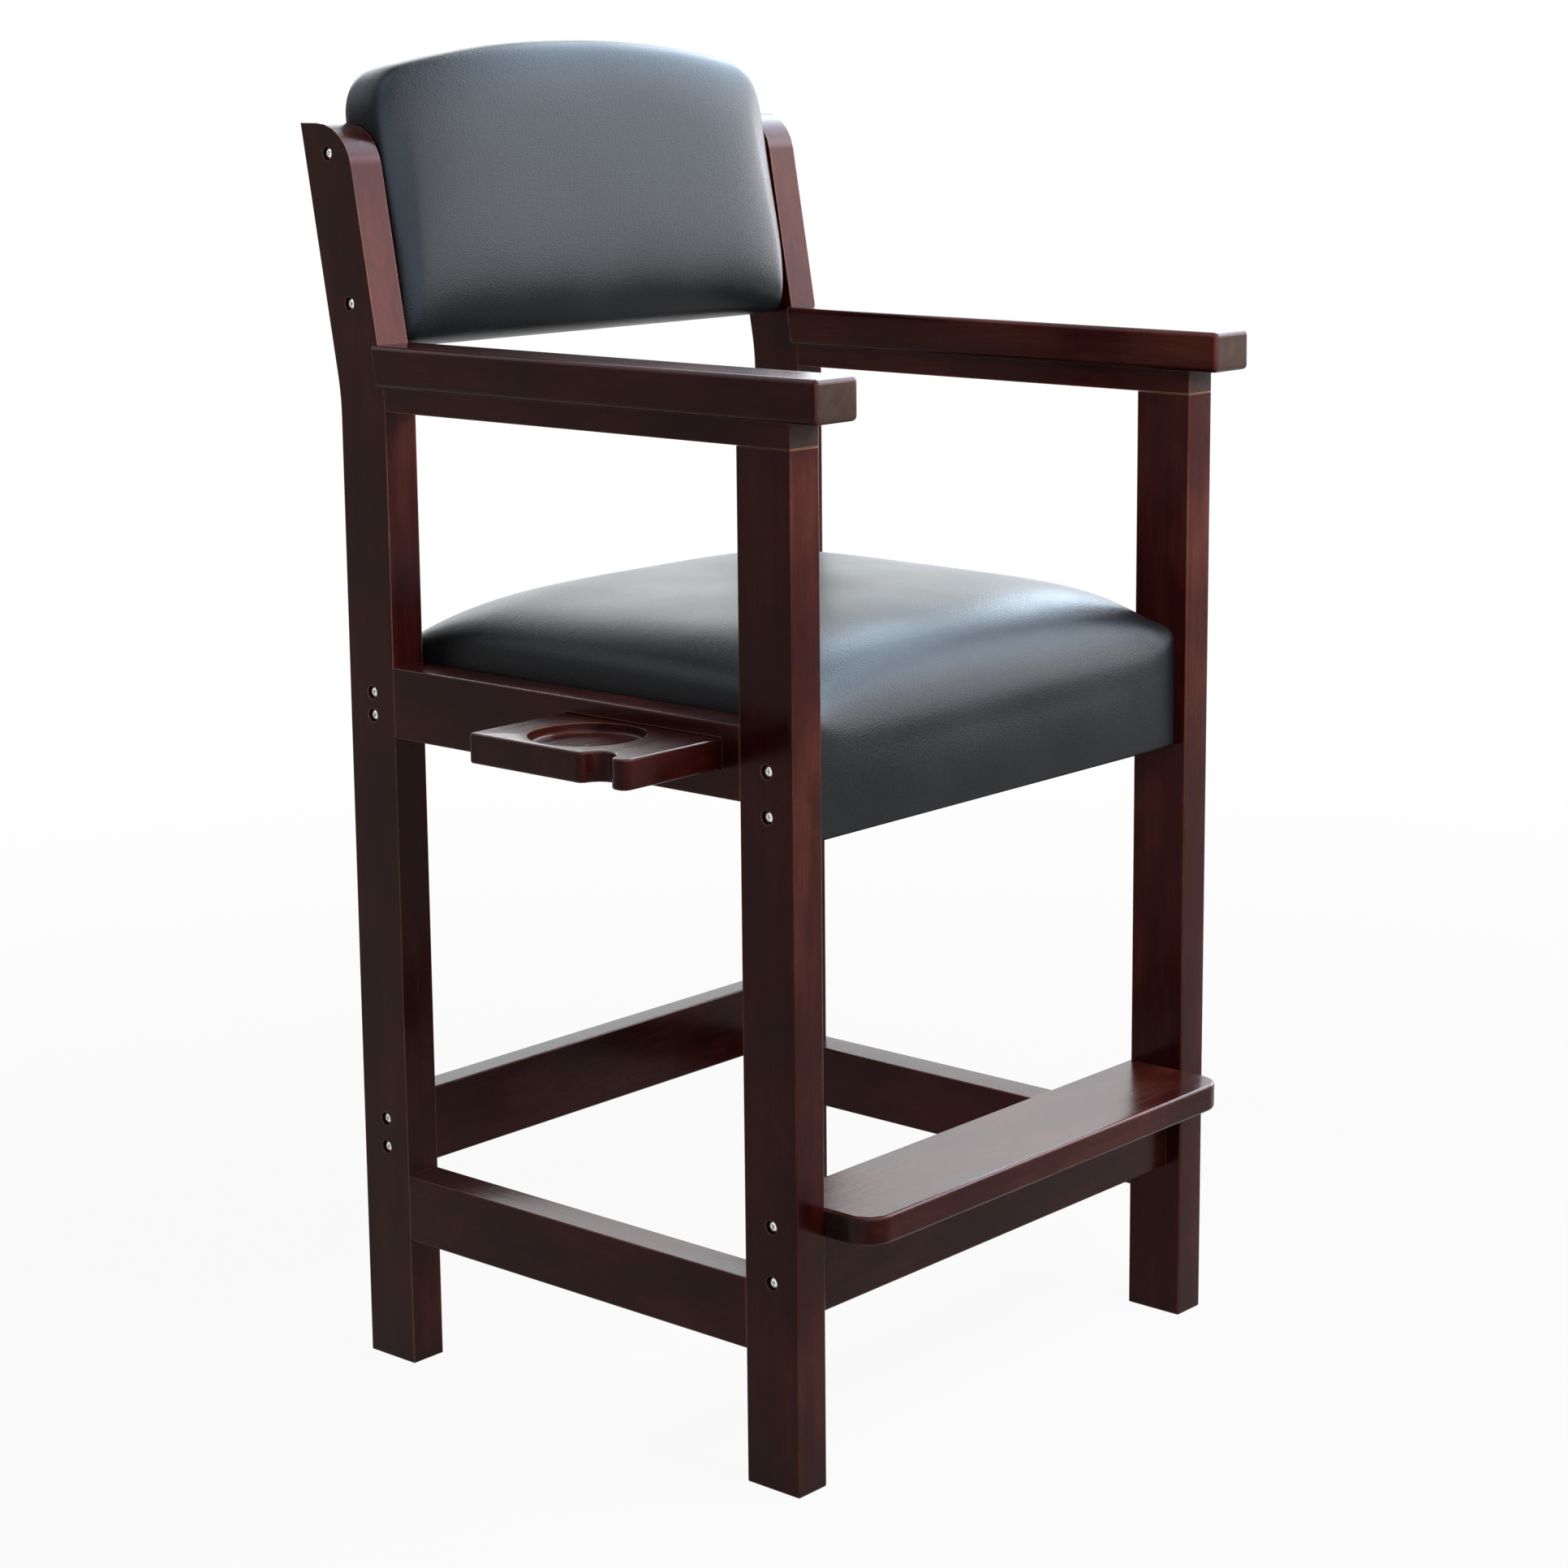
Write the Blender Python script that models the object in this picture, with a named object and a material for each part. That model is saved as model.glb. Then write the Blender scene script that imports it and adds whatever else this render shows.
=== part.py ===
"""Spectator chair: two wooden side frames screwed to an upholstered seat and backrest, and a pull-out tray.

Metres, +Z up. The sitter faces -Y, so the sitter's right hand is on the -X side. Pieces are modelled about
the chair's own datum: on the floor, midway between the front legs, at their front faces. The root empty
carries that datum, so that the world origin is the centre of the footprint with the tray pulled out.
"""

import math

import bmesh
import bpy
from mathutils import Matrix, Vector

# Fits and finish
CLEARANCE = 0.0003
EDGE_ROUND = 0.002
ROUND_SEGMENTS = 2
ROUND_ANGLE = math.radians(40)
OVERCUT = 0.004
TOUCH = 0.00001

# Legs
FRAME_WIDTH = 0.590
LEG_WIDTH = 0.036
LEG_DEPTH = 0.058
LEG_SPACING = 0.478
FRONT_LEG_HEIGHT = 0.890
POST_DROP = 0.069
POST_TOP_RADIUS = 0.045
BEND_HEIGHT = 0.904
BEND_RADIUS = 0.250
RAKE = math.radians(10)
ARC_STEPS = 6

# Side rails and their tenons
SEAT_RAIL_BOTTOM = 0.595
SEAT_RAIL_HEIGHT = 0.065
SIDE_STRETCHER_BOTTOM = 0.120
SIDE_STRETCHER_HEIGHT = 0.063
TENON_SHOULDER = 0.012
TENON_SCREW_WALL = 0.005

# Arms
ARM_RAIL_THICKNESS = 0.022
ARM_RAIL_SHOULDER = 0.007
ARM_THICKNESS = 0.037
ARM_OVERHANG = 0.0085
ARM_REACH = 0.035
ARM_ROUND = 0.005
ARM_ROUND_SEGMENTS = 4
ARM_TENON_BITE = 0.015
ARM_SCREW_INSET = 0.110

# Cross members
CROSS_THICKNESS = 0.026
FRONT_STRETCHER_BOTTOM = 0.148
FRONT_STRETCHER_HEIGHT = 0.074
FOOTREST_THICKNESS = 0.025
FOOTREST_REACH = 0.051
FOOTREST_CORNER = 0.026
FOOTREST_ROUND = 0.003
REAR_STRETCHER_BOTTOM = 0.183
REAR_STRETCHER_HEIGHT = 0.071
REAR_STRETCHER_SCREWS = 0.027

# Seat
SEAT_BOARD_THICKNESS = 0.012
SEAT_BOARD_CORNER = 0.006
SEAT_FRONT_RAIL_HEIGHT = 0.085
SEAT_FRONT_SCREWS = 0.038
SEAT_REAR_RAIL_HEIGHT = 0.048
SEAT_REAR_SCREWS = 0.021
SEAT_CROWN = 0.060
SEAT_SKIRT = 0.013
SEAT_PAD = 0.004
SEAT_PAD_INSET = 0.022
SEAT_CORNER = 0.003
SEAT_BELLY = 0.002
SEAT_HEM = 0.022

# Upholstery
VINYL = 0.0015
COVER_GAP = 0.001
FOAM_INSET = 0.0033
FOAM_EDGE = 0.0006
SEAT_CROWN_POWER = 3.0
SEAT_ROLL_POWER = 2.35
BACK_CROWN_POWER = 4.0
CORNER_POWER = 60
SEAT_COLUMNS = 16
SEAT_ROWS = 14
APRON_ROWS = 4

# Backrest, measured along the rake from the bend
BACK_LIFT = 0.039
BACK_HEIGHT = 0.273
BACK_ARCH_RADIUS = 1.150
BACK_TOP_CORNER = 0.048
BACK_LOWER_CORNER = 0.015
BACK_BOARD_THICKNESS = 0.018
BACK_PANEL_THICKNESS = 0.005
BACK_PANEL_INSET = 0.006
BACK_EDGE = 0.003
BACK_CROWN = 0.036
BACK_HEM = 0.020
BACK_SCREW_LIFT = 0.042
BACK_SCREW_DROP = 0.0265
BACK_ROWS = 12

# Drink tray
TRAY_REACH = 0.114
TRAY_HELD = 0.070
TRAY_WIDTH = 0.181
TRAY_THICKNESS = 0.026
TRAY_SETBACK = 0.021
TRAY_HEADROOM = 0.002
TRAY_PLAY = 0.0008
TRAY_CORNER = 0.009
TRAY_BACK_CORNER = 0.003
TRAY_ROUND = 0.002
CUP_DIAMETER = 0.100
CUP_DEPTH = 0.009
CUP_INSET = 0.057
CUP_SETBACK = 0.0985
CUP_FILLET = 0.003
CUP_DIMPLE = 0.0015
CUP_SEGMENTS = 40
NOTCH_RADIUS = 0.015
NOTCH_DEPTH = 0.018
NOTCH_LIP = 0.008
FINGER_FLAT = 0.002
NOTCH_STEPS = 8

# Tray guides under the seat board
RUNNER_WIDTH = 0.016
RUNNER_LEDGE = 0.010
RUNNER_FLOOR = 0.008
RUNNER_SCREW_INSET = 0.040
RUNNER_SCREW_BITE = 0.008
STOP_WIDTH = 0.012
STOP_HEIGHT = 0.010
BACK_STOP_WIDTH = 0.018

# Screws
SCREW_DIAMETER = 0.006
SCREW_LENGTH = 0.060
SCREW_HEAD_DIAMETER = 0.011
SCREW_HEAD_HEIGHT = 0.004
SCREW_POINT = 0.006
SCREW_DOME = 0.3
COUNTERBORE_DIAMETER = 0.0125
COUNTERBORE_DEPTH = 0.0065
SMALL_SCREW_DIAMETER = 0.004
SMALL_SCREW_LENGTH = 0.030
SMALL_HEAD_DIAMETER = 0.008
SMALL_HEAD_HEIGHT = 0.003
SMALL_COUNTERBORE_DIAMETER = 0.009
ARM_COUNTERBORE_DEPTH = 0.008
SCREW_SEGMENTS = 10
BORE_SEGMENTS = 16

# Sizes worked out from the driving ones
SIDES = (("right", -1), ("left", 1))
OUTER_X = FRAME_WIDTH / 2
INNER_X = OUTER_X - LEG_WIDTH
MEMBER_X = INNER_X - CLEARANCE
FRONT_MID_Y = LEG_DEPTH / 2
REAR_MID_Y = LEG_SPACING + LEG_DEPTH / 2
BACK_TOP = BACK_LIFT + BACK_HEIGHT
POST_HEIGHT = BEND_HEIGHT + BACK_TOP * math.cos(RAKE) - POST_DROP
ARM_BOTTOM = FRONT_LEG_HEIGHT + ARM_RAIL_THICKNESS
SEAT_RAIL_TOP = SEAT_RAIL_BOTTOM + SEAT_RAIL_HEIGHT
SCREW_HOLE = SCREW_DIAMETER / 2 + CLEARANCE
SMALL_HOLE = SMALL_SCREW_DIAMETER / 2 + CLEARANCE
TENON_LENGTH = LEG_DEPTH / 2 - SCREW_HOLE - TENON_SCREW_WALL
FOOTREST_BOTTOM = FRONT_STRETCHER_BOTTOM + FRONT_STRETCHER_HEIGHT
BOARD_BOTTOM = SEAT_RAIL_TOP - SEAT_BOARD_THICKNESS
SEAT_RAILS_TOP = BOARD_BOTTOM - CLEARANCE
FRONT_RAIL_Y = FRONT_MID_Y - CROSS_THICKNESS / 2
REAR_RAIL_Y = REAR_MID_Y + CROSS_THICKNESS / 2
COVER_X = INNER_X - COVER_GAP
COVER_FRONT_Y = FRONT_RAIL_Y - SEAT_PAD - 2 * CLEARANCE - VINYL
COVER_REAR_Y = REAR_RAIL_Y + CLEARANCE + VINYL
COVER_EDGE_Z = SEAT_RAIL_TOP + 2 * CLEARANCE + VINYL
TRAY_TOP = BOARD_BOTTOM - TRAY_HEADROOM
TRAY_BOTTOM = TRAY_TOP - TRAY_THICKNESS
TRAY_FRONT = LEG_DEPTH + TRAY_SETBACK
TRAY_REAR = TRAY_FRONT + TRAY_WIDTH
TRAY_OUT = -OUTER_X - TRAY_REACH
TRAY_IN = -INNER_X + TRAY_HELD
BACK_STOP_X = TRAY_IN + TRAY_REACH + CLEARANCE
RUNNER_END = BACK_STOP_X + BACK_STOP_WIDTH
LEDGE_TOP = TRAY_BOTTOM - CLEARANCE
BACK_SKIN = BACK_BOARD_THICKNESS / 2 + CLEARANCE + VINYL
PANEL_FRONT = BACK_SKIN + CLEARANCE
BACK_EDGE_N = BACK_BOARD_THICKNESS / 2 + BACK_EDGE


# Scene and objects


def clear_scene():
    for obj in list(bpy.data.objects):
        bpy.data.objects.remove(obj, do_unlink=True)


def make_material(name, colour, roughness, metallic=0.0):
    material = bpy.data.materials.new(name)
    material.use_nodes = True
    shader = material.node_tree.nodes["Principled BSDF"]
    shader.inputs["Base Color"].default_value = (*colour, 1.0)
    shader.inputs["Roughness"].default_value = roughness
    shader.inputs["Metallic"].default_value = metallic
    return material


def make_empty(name, location, rotation=(0.0, 0.0, 0.0), parent=None):
    empty = bpy.data.objects.new(name, None)
    bpy.context.scene.collection.objects.link(empty)
    empty.location = location
    empty.rotation_euler = rotation
    empty.parent = parent
    return empty


def make_object(name, bm, parent, material=None, smooth=False):
    """An object from a bmesh. One with no material is a helper for a Boolean, and isn't rendered."""
    bmesh.ops.recalc_face_normals(bm, faces=bm.faces)
    mesh = bpy.data.meshes.new(name)
    bm.to_mesh(mesh)
    bm.free()
    obj = bpy.data.objects.new(name, mesh)
    bpy.context.scene.collection.objects.link(obj)
    obj.parent = parent
    if material is None:
        obj.hide_render = True
        obj.display_type = "WIRE"
    else:
        mesh.materials.append(material)
    if smooth:
        mesh.shade_smooth()
        mesh.set_sharp_from_angle(angle=ROUND_ANGLE)
    return obj


def mark_edges(bm, *butts):
    """Marks the sharp edges for rounding, except those round a face that butts on another piece."""
    bmesh.ops.recalc_face_normals(bm, faces=bm.faces)
    bm.normal_update()
    layer = bm.edges.layers.float.new("bevel_weight_edge")
    for edge in bm.edges:
        butting = any(all(butt(vert.co) for vert in edge.verts) for butt in butts)
        if edge.calc_face_angle() > ROUND_ANGLE and not butting:
            edge[layer] = 1.0


def round_edges(obj, width, segments=ROUND_SEGMENTS):
    modifier = obj.modifiers.new("round_edges", "BEVEL")
    modifier.limit_method = "WEIGHT"
    modifier.width = width
    modifier.segments = segments


def combine(obj, operation, *helpers):
    for helper in helpers:
        modifier = obj.modifiers.new(operation.lower(), "BOOLEAN")
        modifier.operation = operation
        modifier.solver = "EXACT"
        modifier.object = helper


# Shapes


def span(first, second):
    return (min(first, second), max(first, second))


def grown(ends, margin):
    return (ends[0] - margin, ends[1] + margin)


def around(middle, size):
    return (middle - size / 2, middle + size / 2)


def add_box(bm, x, y, z):
    size = (x[1] - x[0], y[1] - y[0], z[1] - z[0], 1.0)
    middle = Vector((sum(x) / 2, sum(y) / 2, sum(z) / 2))
    bmesh.ops.create_cube(bm, size=1.0, matrix=Matrix.Translation(middle) @ Matrix.Diagonal(size))


def add_prism(bm, outline, axis, ends):
    """An outline extruded along X, Y or Z. Its points hold the other two coordinates in order."""
    place = {
        "X": lambda a, b, t: (t, a, b),
        "Y": lambda a, b, t: (a, t, b),
        "Z": lambda a, b, t: (a, b, t),
    }[axis]
    face = bm.faces.new([bm.verts.new(place(a, b, ends[0])) for a, b in outline])
    moved = bmesh.ops.extrude_face_region(bm, geom=[face])["geom"]
    verts = [item for item in moved if isinstance(item, bmesh.types.BMVert)]
    bmesh.ops.translate(bm, verts=verts, vec=place(0.0, 0.0, ends[1] - ends[0]))


def add_turned(bm, profile, base, axis, segments):
    """A turned solid from (radius, distance) pairs, which run from one end of the axis to the other."""
    before = set(bm.verts)
    verts = [bm.verts.new((radius, 0.0, distance)) for radius, distance in profile]
    edges = [bm.edges.new(pair) for pair in zip(verts, verts[1:])]
    bmesh.ops.spin(
        bm, geom=verts + edges, cent=(0, 0, 0), axis=(0, 0, 1), dvec=(0, 0, 0),
        angle=math.tau, steps=segments, use_merge=True, use_normal_flip=False, use_duplicate=False,
    )
    made = [vert for vert in bm.verts if vert not in before]
    bmesh.ops.remove_doubles(bm, verts=made, dist=TOUCH)
    made = [vert for vert in bm.verts if vert not in before]
    turn = Vector((0, 0, 1)).rotation_difference(Vector(axis)).to_matrix().to_4x4()
    bmesh.ops.transform(bm, matrix=Matrix.Translation(Vector(base)) @ turn, verts=made)


def arc(centre, radius, start, end, steps=ARC_STEPS):
    angles = [start + (end - start) * step / steps for step in range(steps + 1)]
    return [(centre[0] + radius * math.cos(a), centre[1] + radius * math.sin(a)) for a in angles]


def spaced(count):
    """Values from -1 to 1, closer together towards the ends."""
    return [-math.cos(math.pi * step / count) for step in range(count + 1)]


def crown(u, v, across, along):
    """Height of a padded form over its plan: 0 on the edge, 1 in the middle, flatter as the powers grow."""
    sides = max(1 - abs(u) ** across, 0.0) ** (1 / across)
    ends = max(1 - abs(v) ** along, 0.0) ** (1 / along)
    return sides * ends


def add_grid(bm, place, across, along):
    """A sheet of faces over two lists of values, and the loop of points round its border."""
    rows = [[bm.verts.new(place(u, v)) for u in across] for v in along]
    for low, high in zip(rows, rows[1:]):
        for i in range(len(across) - 1):
            bm.faces.new((low[i], low[i + 1], high[i + 1], high[i]))
    right = [row[-1] for row in rows[1:-1]]
    left = [row[0] for row in reversed(rows[1:-1])]
    return rows[0] + right + rows[-1][::-1] + left


def add_strip(bm, chain, place, closed=False):
    """Faces from a chain of points to the same chain moved by place. Gives the new chain."""
    moved = [bm.verts.new(place(vert.co)) for vert in chain]
    count = len(chain) if closed else len(chain) - 1
    for i in range(count):
        j = (i + 1) % len(chain)
        bm.faces.new((chain[i], chain[j], moved[j], moved[i]))
    return moved


def thicken(obj):
    modifier = obj.modifiers.new("vinyl", "SOLIDIFY")
    modifier.thickness = VINYL
    modifier.offset = -1.0
    modifier.use_even_offset = True
    modifier.use_quality_normals = True


# Rear post outline, in (y, z)


def post_bend():
    """Centre of the bend, and the front and back radii about it."""
    start = BEND_HEIGHT - BEND_RADIUS * math.tan(RAKE / 2)
    centre = (REAR_MID_Y + BEND_RADIUS, start)
    return centre, BEND_RADIUS + LEG_DEPTH / 2, BEND_RADIUS - LEG_DEPTH / 2


def post_edge(height, radius):
    """Y of the post's front or back edge, whose bend has this radius, at a height."""
    centre = post_bend()[0]
    rise = height - centre[1]
    if rise <= 0:
        return centre[0] - radius
    if rise <= radius * math.sin(RAKE):
        return centre[0] - math.sqrt(radius**2 - rise**2)
    end = centre[0] - radius * math.cos(RAKE)
    return end + (rise - radius * math.sin(RAKE)) * math.tan(RAKE)


def post_front(height):
    return post_edge(height, post_bend()[1])


def post_outline():
    centre, front, back = post_bend()
    top_front = post_front(POST_HEIGHT)
    top_back = post_edge(POST_HEIGHT, back)
    corner = math.pi / 2 + RAKE
    run = POST_TOP_RADIUS / math.tan(corner / 2)
    middle = (top_front + run, POST_HEIGHT - POST_TOP_RADIUS)
    outline = [(centre[0] - back, 0.0), (centre[0] - front, 0.0)]
    outline += arc(centre, front, math.pi, math.pi - RAKE)
    outline += arc(middle, POST_TOP_RADIUS, math.pi - RAKE, math.pi / 2)
    outline += [(top_back, POST_HEIGHT)]
    outline += arc(centre, back, math.pi - RAKE, math.pi)
    return outline


def on_rake(distance):
    """(y, z) of a point on the post's middle line, this far up the rake from the bend."""
    return REAR_MID_Y + distance * math.sin(RAKE), BEND_HEIGHT + distance * math.cos(RAKE)


# Screws, their bores and the tenons, which several pieces share


def screw_sites():
    """(y, z) of each screw that goes through a leg into a cross member."""
    sites = {}

    def pair(name, y, middle, spacing):
        sites[name + "_upper"] = (y, middle + spacing / 2)
        sites[name + "_lower"] = (y, middle - spacing / 2)

    high = (POST_HEIGHT - BACK_SCREW_DROP - BEND_HEIGHT) / math.cos(RAKE)
    sites["backrest_upper"] = on_rake(high)
    sites["backrest_lower"] = on_rake(BACK_LIFT + BACK_SCREW_LIFT)
    pair("seat_front", FRONT_MID_Y, SEAT_RAILS_TOP - SEAT_FRONT_RAIL_HEIGHT / 2, SEAT_FRONT_SCREWS)
    pair("seat_rear", REAR_MID_Y, SEAT_RAILS_TOP - SEAT_REAR_RAIL_HEIGHT / 2, SEAT_REAR_SCREWS)
    stretcher = REAR_STRETCHER_BOTTOM + REAR_STRETCHER_HEIGHT / 2
    pair("rear_stretcher", REAR_MID_Y, stretcher, REAR_STRETCHER_SCREWS)
    sites["footrest"] = (FRONT_MID_Y, FOOTREST_BOTTOM + FOOTREST_THICKNESS / 2)
    sites["front_stretcher"] = (FRONT_MID_Y, FRONT_STRETCHER_BOTTOM + FRONT_STRETCHER_HEIGHT / 2)
    return sites


def bore_profile(mouth, depth, hole, length):
    """A counterbore and the hole beyond it, from outside the wood to past the screw's point."""
    end = depth + length
    return [(0, -OVERCUT), (mouth, -OVERCUT), (mouth, depth), (hole, depth), (hole, end), (0, end)]


def screw_profile(head, height, shank, length):
    """A pan-head screw from the middle of its head to its point, with the head's underside at 0."""
    dome = height * SCREW_DOME
    top = [(0, -height), (head - dome, -height), (head, dome - height), (head, 0)]
    return top + [(shank, 0), (shank, length - SCREW_POINT), (0, length)]


def leg_bores(root, side, sign):
    bm = bmesh.new()
    profile = bore_profile(COUNTERBORE_DIAMETER / 2, COUNTERBORE_DEPTH, SCREW_HOLE, SCREW_LENGTH)
    for y, z in screw_sites().values():
        add_turned(bm, profile, (sign * OUTER_X, y, z), (-sign, 0, 0), BORE_SEGMENTS)
    return make_object(f"cut_{side}_leg_bores", bm, root)


def leg_screws(root, side, sign, steel):
    head = sign * (OUTER_X - COUNTERBORE_DEPTH + CLEARANCE)
    profile = screw_profile(SCREW_HEAD_DIAMETER / 2, SCREW_HEAD_HEIGHT, SCREW_DIAMETER / 2, SCREW_LENGTH)
    for site, (y, z) in screw_sites().items():
        bm = bmesh.new()
        add_turned(bm, profile, (head, y, z), (-sign, 0, 0), SCREW_SEGMENTS)
        make_object(f"{side}_{site}_screw", bm, root, steel, smooth=True)


def upright_screws(root, names, points, depth, steel):
    """Small screws driven up from below at points on an underside, and the bores that they go in."""
    bores = bmesh.new()
    profile = bore_profile(SMALL_COUNTERBORE_DIAMETER / 2, depth, SMALL_HOLE, SMALL_SCREW_LENGTH)
    shank = SMALL_SCREW_DIAMETER / 2
    shape = screw_profile(SMALL_HEAD_DIAMETER / 2, SMALL_HEAD_HEIGHT, shank, SMALL_SCREW_LENGTH)
    for name, (x, y, z) in zip(names, points):
        add_turned(bores, profile, (x, y, z), (0, 0, 1), BORE_SEGMENTS)
        bm = bmesh.new()
        add_turned(bm, shape, (x, y, z + depth - CLEARANCE), (0, 0, 1), SCREW_SEGMENTS)
        make_object(name, bm, root, steel, smooth=True)
    return make_object("cut_" + names[0], bores, root)


def tenon_bars(sign):
    """Each side rail's tenons, as one bar that runs through the rail from tenon end to tenon end."""
    leg = span(sign * OUTER_X, sign * INNER_X)
    thick = grown(leg, -TENON_SHOULDER)
    reach = (LEG_DEPTH - TENON_LENGTH, LEG_SPACING + TENON_LENGTH)
    rail = (SEAT_RAIL_BOTTOM, SEAT_RAIL_TOP)
    stretcher = (SIDE_STRETCHER_BOTTOM, SIDE_STRETCHER_BOTTOM + SIDE_STRETCHER_HEIGHT)
    arm_rail = grown((FRONT_LEG_HEIGHT, ARM_BOTTOM), -ARM_RAIL_SHOULDER)
    return {
        "seat_rail": (thick, reach, grown(rail, -TENON_SHOULDER)),
        "side_stretcher": (thick, reach, grown(stretcher, -TENON_SHOULDER)),
        "arm_rail": (grown(leg, -ARM_RAIL_SHOULDER), (LEG_SPACING - LEG_DEPTH, reach[1]), arm_rail),
    }


def tenon_helper(root, side, name, bar):
    bm = bmesh.new()
    add_box(bm, *bar)
    return make_object(f"join_{side}_{name}_tenons", bm, root)


def mortises(root, side, bars):
    bm = bmesh.new()
    for x, y, z in bars.values():
        add_box(bm, grown(x, CLEARANCE), grown(y, CLEARANCE), grown(z, CLEARANCE))
    return make_object(f"cut_{side}_mortises", bm, root)


def leg_tenon(root, side, sign, margin):
    """The front leg's stub tenon, which goes up through the arm rail into the arm."""
    bm = bmesh.new()
    x = grown(span(sign * OUTER_X, sign * INNER_X), margin - TENON_SHOULDER)
    y = grown((0.0, LEG_DEPTH), margin - TENON_SHOULDER)
    z = grown((FRONT_LEG_HEIGHT - OVERCUT, ARM_BOTTOM + ARM_TENON_BITE), margin)
    add_box(bm, x, y, z)
    use = "cut" if margin else "join"
    return make_object(f"{use}_{side}_leg_tenon", bm, root)


# Side frames


def legs(root, side, sign, wood, bores, bars):
    x = span(sign * OUTER_X, sign * INNER_X)
    pockets = mortises(root, side, bars)
    bm = bmesh.new()
    add_box(bm, x, (0.0, LEG_DEPTH), (0.0, FRONT_LEG_HEIGHT))
    mark_edges(bm, lambda p: p.y > LEG_DEPTH - TOUCH, lambda p: p.z > FRONT_LEG_HEIGHT - TOUCH)
    front = make_object(f"{side}_front_leg", bm, root, wood)
    round_edges(front, EDGE_ROUND)
    combine(front, "UNION", leg_tenon(root, side, sign, 0.0))
    combine(front, "DIFFERENCE", pockets, bores)
    bm = bmesh.new()
    add_prism(bm, post_outline(), "X", x)
    mark_edges(bm, lambda p: p.z < ARM_BOTTOM + ARM_THICKNESS / 2 and p.y < post_front(p.z) + TOUCH)
    rear = make_object(f"{side}_rear_leg", bm, root, wood)
    round_edges(rear, EDGE_ROUND)
    combine(rear, "DIFFERENCE", pockets, bores)


def side_rail(root, side, name, sign, z, wood, bars):
    bm = bmesh.new()
    y = grown((LEG_DEPTH, LEG_SPACING), -CLEARANCE)
    add_box(bm, span(sign * OUTER_X, sign * INNER_X), y, z)
    mark_edges(bm, lambda p: p.y < y[0] + TOUCH, lambda p: p.y > y[1] - TOUCH)
    rail = make_object(f"{side}_{name}", bm, root, wood)
    round_edges(rail, EDGE_ROUND)
    combine(rail, "UNION", tenon_helper(root, side, name, bars[name]))
    return rail


def arm_outline(front, bottom, top):
    """A bar seen from the side: square at the front, fitted to the post's curved front edge behind."""
    heights = [top + (bottom - top) * step / ARC_STEPS for step in range(ARC_STEPS + 1)]
    return [(front, bottom), (front, top)] + [(post_front(z) - CLEARANCE, z) for z in heights]


def arms(root, side, sign, wood, steel, bars):
    middle = sign * (OUTER_X + INNER_X) / 2
    ys = (LEG_DEPTH + ARM_SCREW_INSET, LEG_SPACING - ARM_SCREW_INSET)
    names = (f"{side}_arm_front_screw", f"{side}_arm_rear_screw")
    points = [(middle, y, FRONT_LEG_HEIGHT + CLEARANCE) for y in ys]
    bores = upright_screws(root, names, points, ARM_COUNTERBORE_DEPTH, steel)
    socket = leg_tenon(root, side, sign, CLEARANCE)
    fitted = LEG_SPACING - CLEARANCE - TOUCH
    low, high = grown((FRONT_LEG_HEIGHT, ARM_BOTTOM), -CLEARANCE)
    bm = bmesh.new()
    add_prism(bm, arm_outline(0.0, low, high), "X", around(middle, LEG_WIDTH))
    mark_edges(bm, lambda p: p.y > fitted, lambda p: p.z < low + TOUCH, lambda p: p.z > high - TOUCH)
    rail = make_object(f"{side}_arm_rail", bm, root, wood)
    round_edges(rail, EDGE_ROUND)
    combine(rail, "UNION", tenon_helper(root, side, "arm_rail", bars["arm_rail"]))
    combine(rail, "DIFFERENCE", socket, bores)
    bm = bmesh.new()
    outline = arm_outline(-ARM_REACH, ARM_BOTTOM, ARM_BOTTOM + ARM_THICKNESS)
    add_prism(bm, outline, "X", around(middle, LEG_WIDTH + 2 * ARM_OVERHANG))
    mark_edges(bm, lambda p: p.y > fitted)
    arm = make_object(f"{side}_arm", bm, root, wood)
    round_edges(arm, ARM_ROUND, ARM_ROUND_SEGMENTS)
    combine(arm, "DIFFERENCE", socket, bores)


# Cross members


def cross_bar(root, name, y, z, wood, bores):
    bm = bmesh.new()
    add_box(bm, (-MEMBER_X, MEMBER_X), y, z)
    mark_edges(bm, lambda p: p.x < TOUCH - MEMBER_X, lambda p: p.x > MEMBER_X - TOUCH)
    bar = make_object(name, bm, root, wood)
    round_edges(bar, EDGE_ROUND)
    combine(bar, "DIFFERENCE", *bores)


def cross_bars(root, wood, bores):
    front = around(FRONT_MID_Y, CROSS_THICKNESS)
    rear = around(REAR_MID_Y, CROSS_THICKNESS)
    front_z = (FRONT_STRETCHER_BOTTOM, FOOTREST_BOTTOM - CLEARANCE)
    rear_z = (REAR_STRETCHER_BOTTOM, REAR_STRETCHER_BOTTOM + REAR_STRETCHER_HEIGHT)
    seat_front_z = (SEAT_RAILS_TOP - SEAT_FRONT_RAIL_HEIGHT, SEAT_RAILS_TOP)
    seat_rear_z = (SEAT_RAILS_TOP - SEAT_REAR_RAIL_HEIGHT, SEAT_RAILS_TOP)
    cross_bar(root, "front_stretcher", front, front_z, wood, bores)
    cross_bar(root, "rear_stretcher", rear, rear_z, wood, bores)
    cross_bar(root, "seat_front_rail", front, seat_front_z, wood, bores)
    cross_bar(root, "seat_rear_rail", rear, seat_rear_z, wood, bores)


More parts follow.
